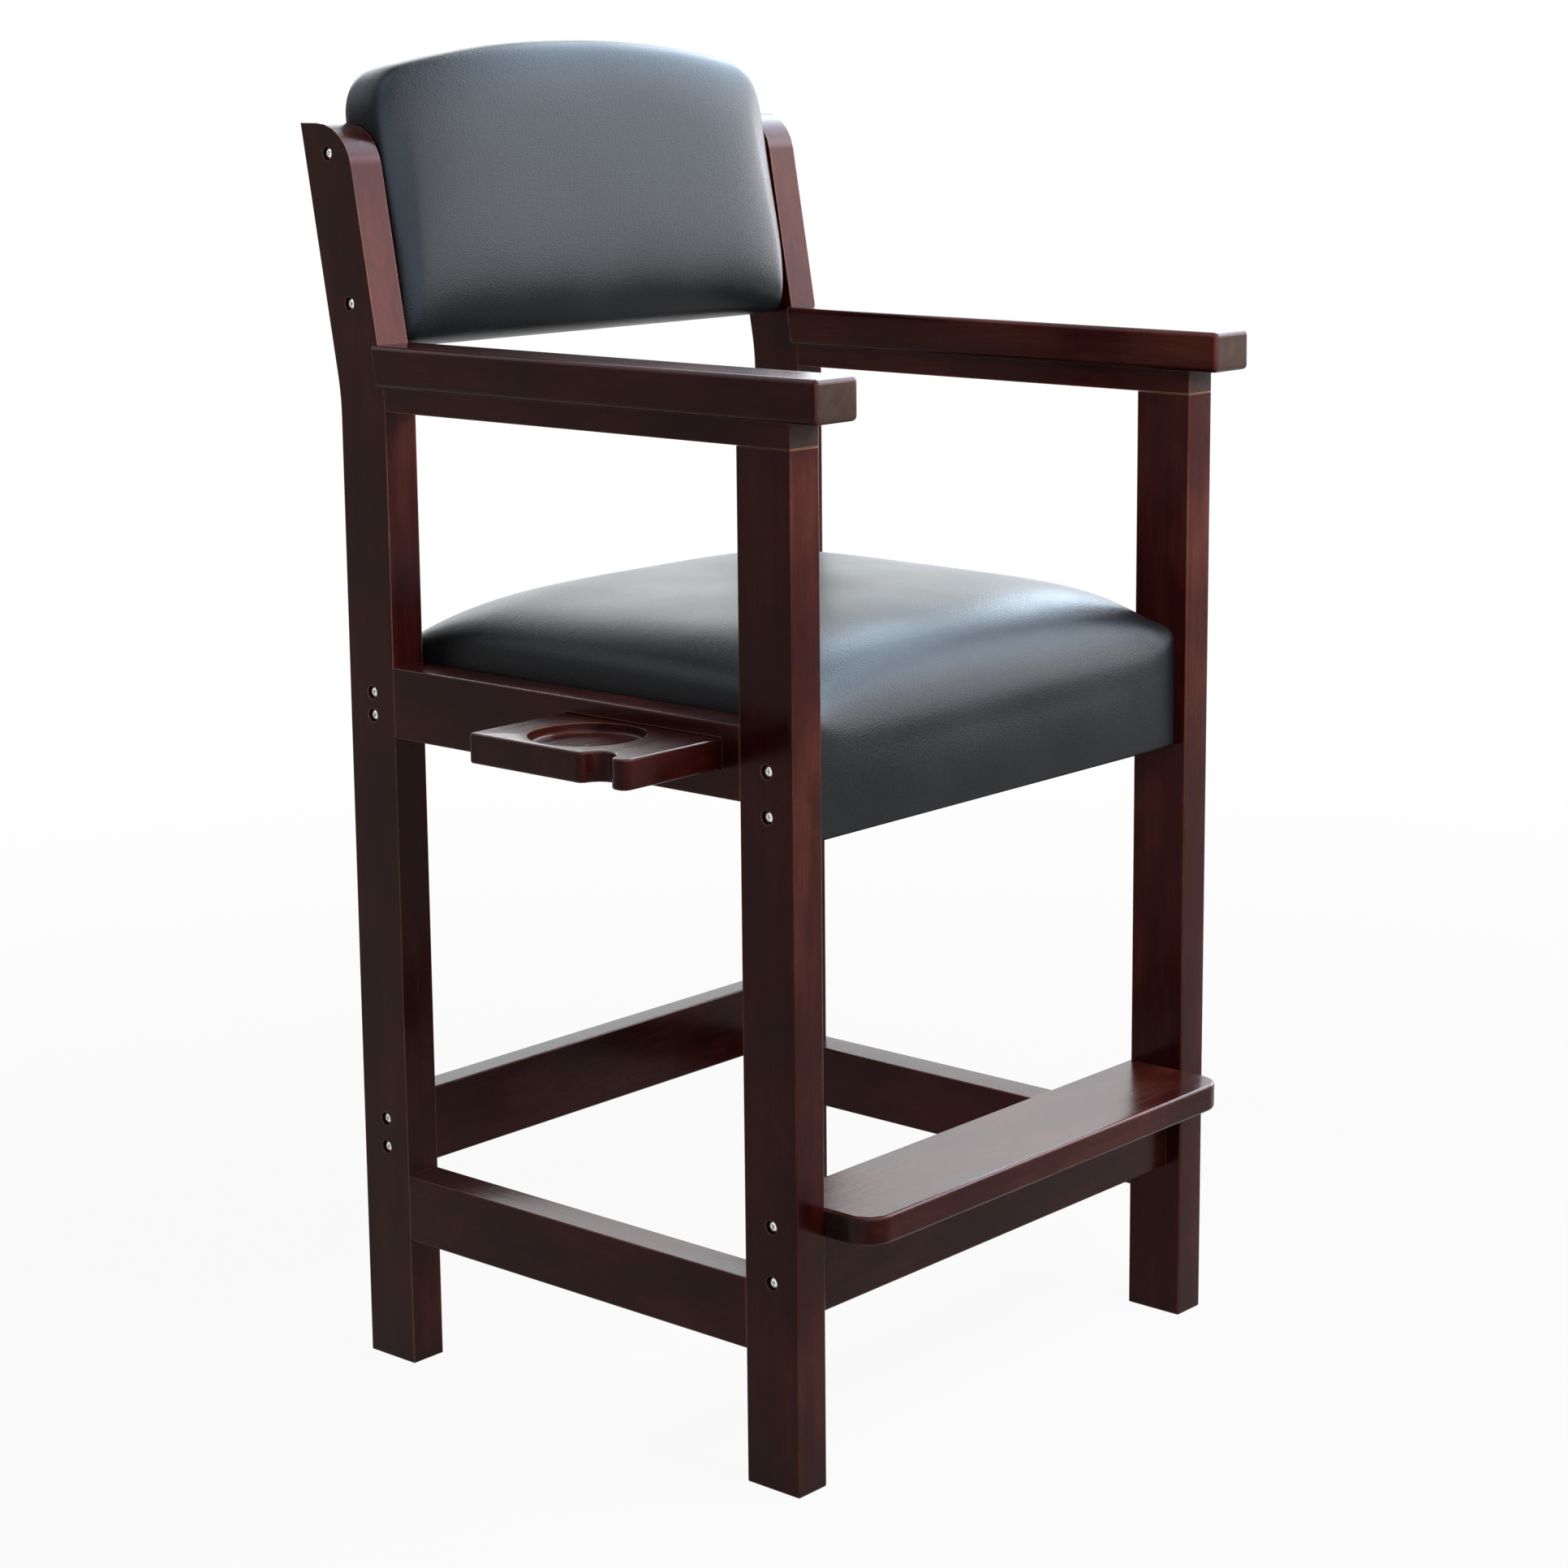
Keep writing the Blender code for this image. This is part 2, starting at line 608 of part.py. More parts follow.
def footrest(root, wood, bores):
    x = MEMBER_X - FOOTREST_CORNER
    y = FOOTREST_CORNER - FOOTREST_REACH
    outline = [(MEMBER_X, LEG_DEPTH), (-MEMBER_X, LEG_DEPTH)]
    outline += arc((-x, y), FOOTREST_CORNER, math.pi, 1.5 * math.pi)
    outline += arc((x, y), FOOTREST_CORNER, 1.5 * math.pi, math.tau)
    bm = bmesh.new()
    add_prism(bm, outline, "Z", (FOOTREST_BOTTOM, FOOTREST_BOTTOM + FOOTREST_THICKNESS))
    mark_edges(bm)
    board = make_object("footrest", bm, root, wood)
    round_edges(board, FOOTREST_ROUND)
    combine(board, "DIFFERENCE", *bores)


# Seat


def seat_place(inset, edge):
    """Places (u, v) on the seat's crowned top, this far inside the cover and never below edge."""
    half_x = COVER_X - inset
    half_y = (COVER_REAR_Y - COVER_FRONT_Y) / 2 - inset
    middle = (COVER_REAR_Y + COVER_FRONT_Y) / 2

    def place(u, v):
        turned_in = SEAT_CORNER * abs(u) ** CORNER_POWER if v == -1 else 0.0
        along = SEAT_ROLL_POWER if v < 0 else SEAT_CROWN_POWER
        z = COVER_EDGE_Z + SEAT_CROWN * crown(u, v, SEAT_CROWN_POWER, along) - inset
        return (half_x * u, middle + half_y * v + turned_in, max(z, edge))

    return place


def seat_along(flange):
    """Rows from front to rear, with the second row at the flange that turns round the front corners."""
    rows = spaced(SEAT_ROWS)
    rows[1] = 2 * flange / (COVER_REAR_Y - COVER_FRONT_Y) - 1
    return rows


def seat_cover(root, vinyl):
    flange = FRONT_RAIL_Y - CLEARANCE - COVER_FRONT_Y
    skirt_z = COVER_EDGE_Z - SEAT_SKIRT
    front_bottom = SEAT_RAILS_TOP - SEAT_FRONT_RAIL_HEIGHT - CLEARANCE - VINYL
    rear_bottom = SEAT_RAILS_TOP - SEAT_REAR_RAIL_HEIGHT - CLEARANCE - VINYL
    across = spaced(SEAT_COLUMNS)
    bm = bmesh.new()
    loop = add_grid(bm, seat_place(0.0, COVER_EDGE_Z), across, seat_along(flange))
    loop = add_strip(bm, loop, lambda p: (p.x, p.y, skirt_z), closed=True)
    width = len(across)
    apron = [loop[-1]] + loop[: width + 1]
    for step in range(1, APRON_ROWS + 1):
        share = step / APRON_ROWS
        z = skirt_z + (front_bottom - skirt_z) * share
        belly = SEAT_BELLY * (math.sin(math.pi * share) - math.sin(math.pi * (step - 1) / APRON_ROWS))
        apron = add_strip(bm, apron, lambda p: (p.x, p.y - belly * (1 - (p.x / COVER_X) ** 2), z))
    hem = [bm.verts.new(vert.co + Vector((0, SEAT_HEM, 0))) for vert in apron[2:-2]]
    hem = [apron[0]] + hem + [apron[-1]]
    for i in range(len(hem) - 1):
        bm.faces.new((apron[i + 1], apron[i + 2], hem[i + 1], hem[i]))
    start = width + len(seat_along(flange)) - 2
    back = add_strip(bm, loop[start : start + width], lambda p: (p.x, p.y, rear_bottom))
    add_strip(bm, back, lambda p: (p.x, p.y - SEAT_HEM, p.z))
    thicken(make_object("seat_cover", bm, root, vinyl, smooth=True))


def crowned_block(bm, place, across, along, base):
    """A crowned sheet with straight sides down to a flat base, closed underneath."""
    loop = add_grid(bm, place, across, along)
    loop = add_strip(bm, loop, base, closed=True)
    bm.faces.new(loop)


def seat_padding(root, foam):
    board_top = SEAT_RAIL_TOP + CLEARANCE
    bm = bmesh.new()
    place = seat_place(FOAM_INSET, board_top + FOAM_EDGE)
    crowned_block(bm, place, spaced(SEAT_COLUMNS), spaced(SEAT_ROWS), lambda p: (p.x, p.y, board_top))
    make_object("seat_foam", bm, root, foam, smooth=True)
    bm = bmesh.new()
    x = COVER_X - SEAT_PAD_INSET
    z = (SEAT_RAILS_TOP - SEAT_FRONT_RAIL_HEIGHT, SEAT_RAILS_TOP)
    add_box(bm, (-x, x), (FRONT_RAIL_Y - CLEARANCE - SEAT_PAD, FRONT_RAIL_Y - CLEARANCE), z)
    make_object("seat_front_pad", bm, root, foam)


def seat_board(root, plywood, bores):
    x = COVER_X - VINYL - CLEARANCE - SEAT_BOARD_CORNER
    y = grown((FRONT_RAIL_Y, REAR_RAIL_Y), -SEAT_BOARD_CORNER)
    outline = []
    for quarter, centre in enumerate(((x, y[1]), (-x, y[1]), (-x, y[0]), (x, y[0]))):
        start = quarter * math.pi / 2
        outline += arc(centre, SEAT_BOARD_CORNER, start, start + math.pi / 2, ROUND_SEGMENTS)
    bm = bmesh.new()
    add_prism(bm, outline, "Z", (BOARD_BOTTOM, SEAT_RAIL_TOP))
    board = make_object("seat_board", bm, root, plywood)
    combine(board, "DIFFERENCE", bores)


# Backrest, modelled upright about the bend with -Y to the front; its empty leans it back


def back_columns(inset):
    """Matching points on the lower and upper edge of the backrest's outline, from one side to the other."""
    half = COVER_X - inset
    arch = BACK_ARCH_RADIUS - inset
    arch_z = BACK_TOP - BACK_ARCH_RADIUS
    corner = BACK_TOP_CORNER - inset
    corner_x = half - corner
    corner_z = arch_z + math.sqrt((arch - corner) ** 2 - corner_x**2)
    lean = math.atan2(corner_z - arch_z, corner_x)
    upper = arc((corner_x, corner_z), corner, 0.0, lean)
    upper += arc((0.0, arch_z), arch, lean, math.pi / 2)[1:]
    turn = BACK_LOWER_CORNER - inset
    turn_x = half - turn
    bottom = BACK_LIFT + inset
    lower = arc((turn_x, bottom + turn), turn, 0.0, -math.pi / 2)
    lower += [(turn_x * (1 - step / ARC_STEPS), bottom) for step in range(1, ARC_STEPS + 1)]
    pairs = list(zip(lower, upper))
    return [((-a, b), (-c, d)) for (a, b), (c, d) in pairs] + pairs[-2::-1]


def back_place(inset, edge):
    """Places (column, v) on the crowned front of the backrest, inside the cover and never behind edge."""
    half = COVER_X - inset

    def place(column, v):
        share = (v + 1) / 2
        lower, upper = (Vector(point) for point in column)
        x, z = lower.lerp(upper, share)
        u = (lower.x + upper.x) / 2 / half
        front = BACK_EDGE_N + BACK_CROWN * crown(u, v, BACK_CROWN_POWER, BACK_CROWN_POWER) - inset
        return (x, -max(front, edge), z)

    return place


def back_outline(inset):
    columns = back_columns(inset)
    return [lower for lower, upper in columns] + [upper for lower, upper in reversed(columns)]


def backrest_cover(backrest, vinyl, bores):
    middle = BACK_LIFT + BACK_HEIGHT / 2
    shrink = 1 - BACK_HEM / COVER_X
    bm = bmesh.new()
    loop = add_grid(bm, back_place(0.0, BACK_EDGE_N), back_columns(0.0), spaced(BACK_ROWS))
    loop = add_strip(bm, loop, lambda p: (p.x, BACK_SKIN, p.z), closed=True)
    add_strip(bm, loop, lambda p: (p.x * shrink, p.y, middle + (p.z - middle) * shrink), closed=True)
    cover = make_object("backrest_cover", bm, backrest, vinyl, smooth=True)
    thicken(cover)
    combine(cover, "DIFFERENCE", *bores)


def backrest_inside(backrest, plywood, foam, wood, bores):
    board_front = BACK_BOARD_THICKNESS / 2
    bm = bmesh.new()
    add_prism(bm, back_outline(VINYL + CLEARANCE), "Y", (-board_front, board_front))
    board = make_object("backrest_board", bm, backrest, plywood)
    combine(board, "DIFFERENCE", *bores)
    base = board_front + CLEARANCE
    bm = bmesh.new()
    place = back_place(FOAM_INSET, base + FOAM_EDGE)
    crowned_block(bm, place, back_columns(FOAM_INSET), spaced(BACK_ROWS), lambda p: (p.x, -base, p.z))
    make_object("backrest_foam", bm, backrest, foam, smooth=True)
    bm = bmesh.new()
    panel = (PANEL_FRONT, PANEL_FRONT + BACK_PANEL_THICKNESS)
    add_prism(bm, back_outline(BACK_PANEL_INSET), "Y", panel)
    mark_edges(bm)
    round_edges(make_object("backrest_panel", bm, backrest, wood), EDGE_ROUND)


# Drink tray and its guides


def notch_outline():
    """The outer edge from front to rear: rounded corner, finger, cue notch with its lips, rear corner."""
    inner = NOTCH_DEPTH - NOTCH_RADIUS
    reach = math.sqrt((NOTCH_RADIUS + NOTCH_LIP) ** 2 - (NOTCH_LIP - inner) ** 2)
    y = TRAY_FRONT + TRAY_CORNER + FINGER_FLAT + reach
    lean = math.asin((NOTCH_LIP - inner) / (NOTCH_RADIUS + NOTCH_LIP))
    lip_x = TRAY_OUT + NOTCH_LIP
    points = arc((TRAY_OUT + TRAY_CORNER, TRAY_FRONT + TRAY_CORNER), TRAY_CORNER, 1.5 * math.pi, math.pi)
    points += arc((lip_x, y - reach), NOTCH_LIP, math.pi, math.pi / 2 + lean)
    mouth = math.pi / 2 - lean
    points += arc((TRAY_OUT + inner, y), NOTCH_RADIUS, -mouth, mouth, NOTCH_STEPS)[1:-1]
    points += arc((lip_x, y + reach), NOTCH_LIP, -math.pi / 2 - lean, -math.pi)
    corner = (TRAY_OUT + TRAY_BACK_CORNER, TRAY_REAR - TRAY_BACK_CORNER)
    return points + arc(corner, TRAY_BACK_CORNER, math.pi, math.pi / 2, ROUND_SEGMENTS)


def cup_cutter(slider):
    radius = CUP_DIAMETER / 2
    wall = CUP_DEPTH - CUP_FILLET
    fillet = arc((radius - CUP_FILLET, wall), CUP_FILLET, 0.0, math.pi / 2, ROUND_SEGMENTS)
    profile = [(0, -OVERCUT), (radius, -OVERCUT)] + fillet
    profile += [(CUP_DIMPLE, CUP_DEPTH), (0, CUP_DEPTH + CUP_DIMPLE)]
    bm = bmesh.new()
    centre = (TRAY_OUT + CUP_INSET, TRAY_FRONT + CUP_SETBACK, TRAY_TOP)
    add_turned(bm, profile, centre, (0, 0, -1), CUP_SEGMENTS)
    return make_object("cut_cup", bm, slider)


def drink_tray(slider, wood):
    bm = bmesh.new()
    outline = notch_outline() + [(TRAY_IN, TRAY_REAR), (TRAY_IN, TRAY_FRONT)]
    add_prism(bm, outline, "Z", (TRAY_BOTTOM, TRAY_TOP))
    mark_edges(bm)
    tray = make_object("drink_tray", bm, slider, wood)
    round_edges(tray, TRAY_ROUND)
    combine(tray, "DIFFERENCE", cup_cutter(slider))
    bm = bmesh.new()
    x = -INNER_X + CLEARANCE
    y = grown((TRAY_FRONT, TRAY_REAR), -RUNNER_LEDGE - TRAY_PLAY)
    add_box(bm, (x, x + STOP_WIDTH), y, (LEDGE_TOP - STOP_HEIGHT, LEDGE_TOP))
    make_object("tray_stop", bm, slider, wood)


def tray_slot(root):
    bm = bmesh.new()
    y = grown((TRAY_FRONT, TRAY_REAR), TRAY_PLAY)
    add_box(bm, grown((-OUTER_X, -INNER_X), OVERCUT), y, grown((TRAY_BOTTOM, TRAY_TOP), TRAY_PLAY))
    return make_object("cut_tray_slot", bm, root)


def runner_outline(edge, outward):
    """An L in (y, z): an upright beside the tray's edge, and a ledge that goes in under it."""
    wall = edge + outward * TRAY_PLAY
    outer = wall + outward * RUNNER_WIDTH
    lip = edge - outward * RUNNER_LEDGE
    low = LEDGE_TOP - RUNNER_FLOOR
    upright = [(outer, low), (outer, SEAT_RAILS_TOP), (wall, SEAT_RAILS_TOP), (wall, LEDGE_TOP)]
    return upright + [(lip, LEDGE_TOP), (lip, low)]


def tray_guides(root, wood, steel):
    ends = (-INNER_X + CLEARANCE, RUNNER_END)
    low = LEDGE_TOP - RUNNER_FLOOR
    depth = BOARD_BOTTOM + RUNNER_SCREW_BITE - SMALL_SCREW_LENGTH - low
    names = []
    points = []
    for name, edge, outward in (("front", TRAY_FRONT, -1), ("rear", TRAY_REAR, 1)):
        y = edge + outward * (TRAY_PLAY + RUNNER_WIDTH / 2)
        for place, x in (("outer", ends[0] + RUNNER_SCREW_INSET), ("inner", ends[1] - RUNNER_SCREW_INSET)):
            names.append(f"runner_{name}_{place}_screw")
            points.append((x, y, low))
    bores = upright_screws(root, names, points, depth, steel)
    for name, edge, outward in (("front", TRAY_FRONT, -1), ("rear", TRAY_REAR, 1)):
        bm = bmesh.new()
        add_prism(bm, runner_outline(edge, outward), "X", ends)
        runner = make_object(f"tray_runner_{name}", bm, root, wood)
        combine(runner, "DIFFERENCE", bores)
    bm = bmesh.new()
    y = grown((TRAY_FRONT, TRAY_REAR), TRAY_PLAY - CLEARANCE)
    add_box(bm, (BACK_STOP_X, RUNNER_END), y, (TRAY_BOTTOM, SEAT_RAILS_TOP))
    make_object("tray_back_stop", bm, root, wood)
    return bores


# The whole chair


def footprint_datum():
    """Where the datum goes so that the world origin is the centre of the footprint."""
    low_x = TRAY_OUT
    high_x = OUTER_X + ARM_OVERHANG
    low_y = -max(FOOTREST_REACH, ARM_REACH)
    panel_up = BACK_TOP - BACK_PANEL_INSET - EDGE_ROUND
    panel_back = PANEL_FRONT + BACK_PANEL_THICKNESS - EDGE_ROUND
    panel_y = on_rake(panel_up)[0] + panel_back * math.cos(RAKE) + EDGE_ROUND
    high_y = max(panel_y, post_edge(POST_HEIGHT, post_bend()[2]))
    return (-(low_x + high_x) / 2, -(low_y + high_y) / 2, 0.0)


def build():
    clear_scene()
    wood = make_material("mahogany_stain", (0.045, 0.014, 0.011), 0.35)
    vinyl = make_material("black_vinyl", (0.012, 0.013, 0.015), 0.45)
    foam = make_material("foam", (0.75, 0.70, 0.55), 0.95)
    plywood = make_material("plywood", (0.45, 0.30, 0.16), 0.70)
    steel = make_material("zinc_steel", (0.55, 0.54, 0.52), 0.30, 1.0)
    root = make_empty("chair", footprint_datum())
    backrest = make_empty("backrest", (0.0, REAR_MID_Y, BEND_HEIGHT), (-RAKE, 0.0, 0.0), root)
    slider = make_empty("tray_slide", (0.0, 0.0, 0.0), parent=root)
    bores = {side: leg_bores(root, side, sign) for side, sign in SIDES}
    slot = tray_slot(root)
    for side, sign in SIDES:
        bars = tenon_bars(sign)
        legs(root, side, sign, wood, bores[side], bars)
        rail = side_rail(root, side, "seat_rail", sign, (SEAT_RAIL_BOTTOM, SEAT_RAIL_TOP), wood, bars)
        if side == "right":
            combine(rail, "DIFFERENCE", slot)
        stretcher = (SIDE_STRETCHER_BOTTOM, SIDE_STRETCHER_BOTTOM + SIDE_STRETCHER_HEIGHT)
        side_rail(root, side, "side_stretcher", sign, stretcher, wood, bars)
        arms(root, side, sign, wood, steel, bars)
        leg_screws(root, side, sign, steel)
    cross_bars(root, wood, bores.values())
    footrest(root, wood, bores.values())
    seat_board(root, plywood, tray_guides(root, wood, steel))
    seat_padding(root, foam)
    seat_cover(root, vinyl)
    backrest_inside(backrest, plywood, foam, wood, bores.values())
    backrest_cover(backrest, vinyl, bores.values())
    drink_tray(slider, wood)


build()
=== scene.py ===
"""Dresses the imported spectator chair: stained wood, black vinyl, zinc screws, floor, light and camera."""

import math

import bmesh
import bpy
from mathutils import Matrix, Vector, noise


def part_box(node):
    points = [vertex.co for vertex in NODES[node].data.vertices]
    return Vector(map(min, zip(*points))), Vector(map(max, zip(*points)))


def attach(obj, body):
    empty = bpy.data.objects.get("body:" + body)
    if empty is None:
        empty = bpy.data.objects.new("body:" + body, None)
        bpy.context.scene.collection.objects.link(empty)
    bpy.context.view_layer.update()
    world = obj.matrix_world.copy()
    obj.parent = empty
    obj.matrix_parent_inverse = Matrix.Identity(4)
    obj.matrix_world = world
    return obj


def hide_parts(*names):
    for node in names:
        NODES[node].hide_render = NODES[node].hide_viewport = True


BODY = "chair"
SEAT_NODES = ("seat_cover", "seat_foam", "seat_front_pad")
BACK_NODES = ("backrest_cover", "backrest_foam")

# Camera, about the chair's datum: on the floor, midway between the front legs, at their front faces
CAMERA_AZIMUTH = math.radians(-49.3481)
CAMERA_ELEVATION = math.radians(10.6688)
CAMERA_ROLL = math.radians(-0.3666)
CAMERA_PLACE = Vector((-2.3323, -1.7994, 1.2079))
CAMERA_FOCUS = 2.1857
CAMERA_SHIFT = (-0.0352, -0.0600)
SENSOR = 36.0

# Stage. The floor shows whiter, from the first lift to the last, between two distances from its middle
FLOOR_HALF = 30.0
FLOOR_COLOUR = (0.38, 0.38, 0.38)
FLOOR_LIFT = (0.94, 1.0)
FLOOR_FADE = (0.9, 3.0)

# Light. Each lamp has a name, a place, a size, a power, a colour and the rays that see it
WORLD_COLOUR = (0.93, 0.97, 1.0)
WORLD_STRENGTH = 0.32
LAMPS = (
    ("key", (1.9, -2.8, 1.95), (3.6, 2.1), 184.8, (0.93, 0.94, 1.0), "glossy"),
    ("sheen", (2.5, -0.35, 2.8), (3.8, 2.0), 346.5, (0.64, 0.82, 1.0), "glossy"),
    ("side", (2.2, 2.2, 2.6), (3.8, 2.2), 68.8, (0.93, 0.97, 1.0), "glossy"),
    ("left", (-1.6, -3.0, 1.7), (4.2, 2.4), 210.0, (0.62, 0.79, 1.0), "glossy"),
    ("right", (3.4, -0.3, 1.25), (2.0, 1.2), 94.5, (0.96, 0.96, 1.0), "glossy"),
    ("front", (0.2, -1.0, 1.40), (1.0, 0.6), 32.0, (0.96, 1.0, 0.96), "diffuse"),
    ("sky", (-1.2, 1.5, 2.9), (3.4, 2.6), 52.5, (0.72, 0.86, 1.0), "glossy"),
    ("top", (-0.5, -0.8, 3.2), (1.8, 1.6), 54.6, (0.60, 0.80, 1.0), "glossy"),
    ("back", (3.2, 2.9, 1.7), (5.0, 3.0), 54.0, (0.88, 0.96, 1.0), "both"),
)
LIGHT_AIM = (0.05, 0.0, 0.75)

# Edges of the CAD nodes
MERGE_DISTANCE = 0.00002
SMOOTH_ANGLE = math.radians(50)

# Wood. Its gloss and the vinyl's are low, because reflections see a white background all round
STAIN = (
    (0.34, (0.0110, 0.0016, 0.0015)),
    (0.50, (0.0290, 0.0043, 0.0033)),
    (0.66, (0.0600, 0.0130, 0.0080)),
)
PORE_COLOUR = (0.004, 0.0013, 0.0012, 1.0)
END_COLOURS = ((0.3, (0.020, 0.0135, 0.011)), (0.7, (0.033, 0.023, 0.0185)))
# Wood is mixed darker towards the bottom, from the first height above the floor down to the second
FOOT_DARK_COLOUR = (0.006, 0.002, 0.002, 1.0)
FOOT_DARK_HEIGHTS = (0.070, 0.015)
# Edges: rubbed-through stain and partly a painted highlight along the rounded edges
EDGE_WEAR_AND_HIGHLIGHT_COLOUR = (0.340, 0.150, 0.095, 1.0)
EDGE_RADIUS = 0.0022
WOOD_ROUGHNESS = (0.14, 0.28)
WOOD_GLOSS = 0.13
WOOD_GLOSS_TINT = (1.0, 0.52, 0.50, 1.0)

# How much the greyer end grain shows
END_GRAIN = 0.85
TRAY_ENDS = 0.25

# Vinyl, plywood and zinc
VINYL_COLOURS = ((0.3, (0.0050, 0.0052, 0.0060)), (0.7, (0.0078, 0.0080, 0.0092)))
# Painted shade: the colour of the hollows between the vinyl's pebbles
VINYL_HOLLOW_SHADE = (0.004, 0.004, 0.0048, 1.0)
VINYL_ROUGHNESS = (0.32, 0.38)
VINYL_GLOSS = 0.12
VINYL_GLOSS_TINT = (0.96, 0.96, 1.0, 1.0)
PLY_FACES = ((0.3, (0.30, 0.19, 0.10)), (0.7, (0.47, 0.33, 0.19)))
PLY_EDGES = ((0.35, (0.16, 0.09, 0.05)), (0.65, (0.42, 0.29, 0.17)))
PLY_ROUGHNESS = (0.6, 0.75)
ZINC_COLOURS = ((0.35, (0.62, 0.61, 0.58)), (0.65, (0.92, 0.92, 0.90)))
ZINC_ROUGHNESS = (0.20, 0.42)

# Seat cover
SEAT_SIDE_POWER = (3.15, 3.9)
SEAT_PEAK = 0.78
EDGE_LIFT = 0.0021
ROLL_RADIUS = 0.073
ROLL_TURN = math.radians(60)
ROLL_DROP = 0.020
ROLL_BLEND = 0.100
ROLL_CORNER = 12
ROLL_BOX = 3.0
ROLL_BOX_DEPTH = 0.030
CORNER_WIDTH = 0.008
CORNER_DEPTH = 0.0035
SKIRT = 0.013
APRON_BELLY = 0.002
TINY = 0.0002
SEAT_ACROSS = 56
FLANGE_ROWS = 5
ROLL_ROWS = 10
TOP_ROWS = 24
TOP_SPACING = 1.3
REAR_ROWS = 14
APRON_ROWS = 12
SEAT_ROUNDING = 1

# Backrest cover, which leans as it does in the part
RAKE = math.radians(10)
BACK_CROWN_POWER = 4.8
BACK_LOWER_POWER = 3.3
BACK_ARCH_RADIUS = 1.150
BACK_TOP_CORNER = 0.048
BACK_LOWER_CORNER = 0.015
BACK_EDGE = 0.003
BACK_STEPS = 14
BACK_ROWS = 40
BACK_ROUNDING = 2

# Both covers
SKIRT_ROWS = 2
HEM = 0.020
FOLD = 0.9
SKIN = 0.0018
VINYL = 0.0012
SLACK = 0.0005
SLACK_SCALE = 9.0

# Cloth under pressure
SWELL = 0.001
SWELL_CAP = 0.003
SMOOTHING = 30
CLOTH_FRAMES = 20
HELD = "held"
CLOTH = {
    "quality": 5,
    "mass": 0.4,
    "tension_stiffness": 25.0,
    "compression_stiffness": 25.0,
    "shear_stiffness": 10.0,
    "bending_stiffness": 4.0,
    "use_pressure": True,
    "uniform_pressure_force": 4.0,
    "vertex_group_mass": HELD,
}

# Screws, in shares of the head's radius. The profile's heights and the cross's depth are shares of its height
HEAD_PROFILE = ((0.5, 0.05), (0.82, 0.18), (0.96, 0.38), (1.0, 0.6), (1.0, 1.0))
FRAME_HEAD_HEIGHT = 0.727
FRAME_SHANK = 0.545
SMALL_HEAD_HEIGHT = 0.75
SMALL_SHANK = 0.5
CROSS_WIDTH = 0.24
CROSS_REACH = 0.62
CROSS_DEPTH = 0.55

# The cross's narrowing, the turn from screw to screw, the point's length and the head's number of sides
CROSS_TAPER = 0.35
CROSS_TURN = 2.4
SCREW_POINT = 0.006
HEAD_SEGMENTS = 32

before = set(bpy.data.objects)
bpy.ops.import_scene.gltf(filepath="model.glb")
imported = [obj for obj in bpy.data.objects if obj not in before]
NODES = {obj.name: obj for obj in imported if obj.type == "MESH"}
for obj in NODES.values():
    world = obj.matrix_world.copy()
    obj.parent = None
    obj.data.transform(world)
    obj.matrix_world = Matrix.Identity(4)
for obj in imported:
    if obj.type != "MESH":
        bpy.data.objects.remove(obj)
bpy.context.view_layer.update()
RIGHT_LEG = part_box("right_front_leg")
LEFT_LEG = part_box("left_front_leg")
DATUM = Vector(((RIGHT_LEG[0].x + LEFT_LEG[1].x) / 2, RIGHT_LEG[0].y, 0.0))


# Node materials


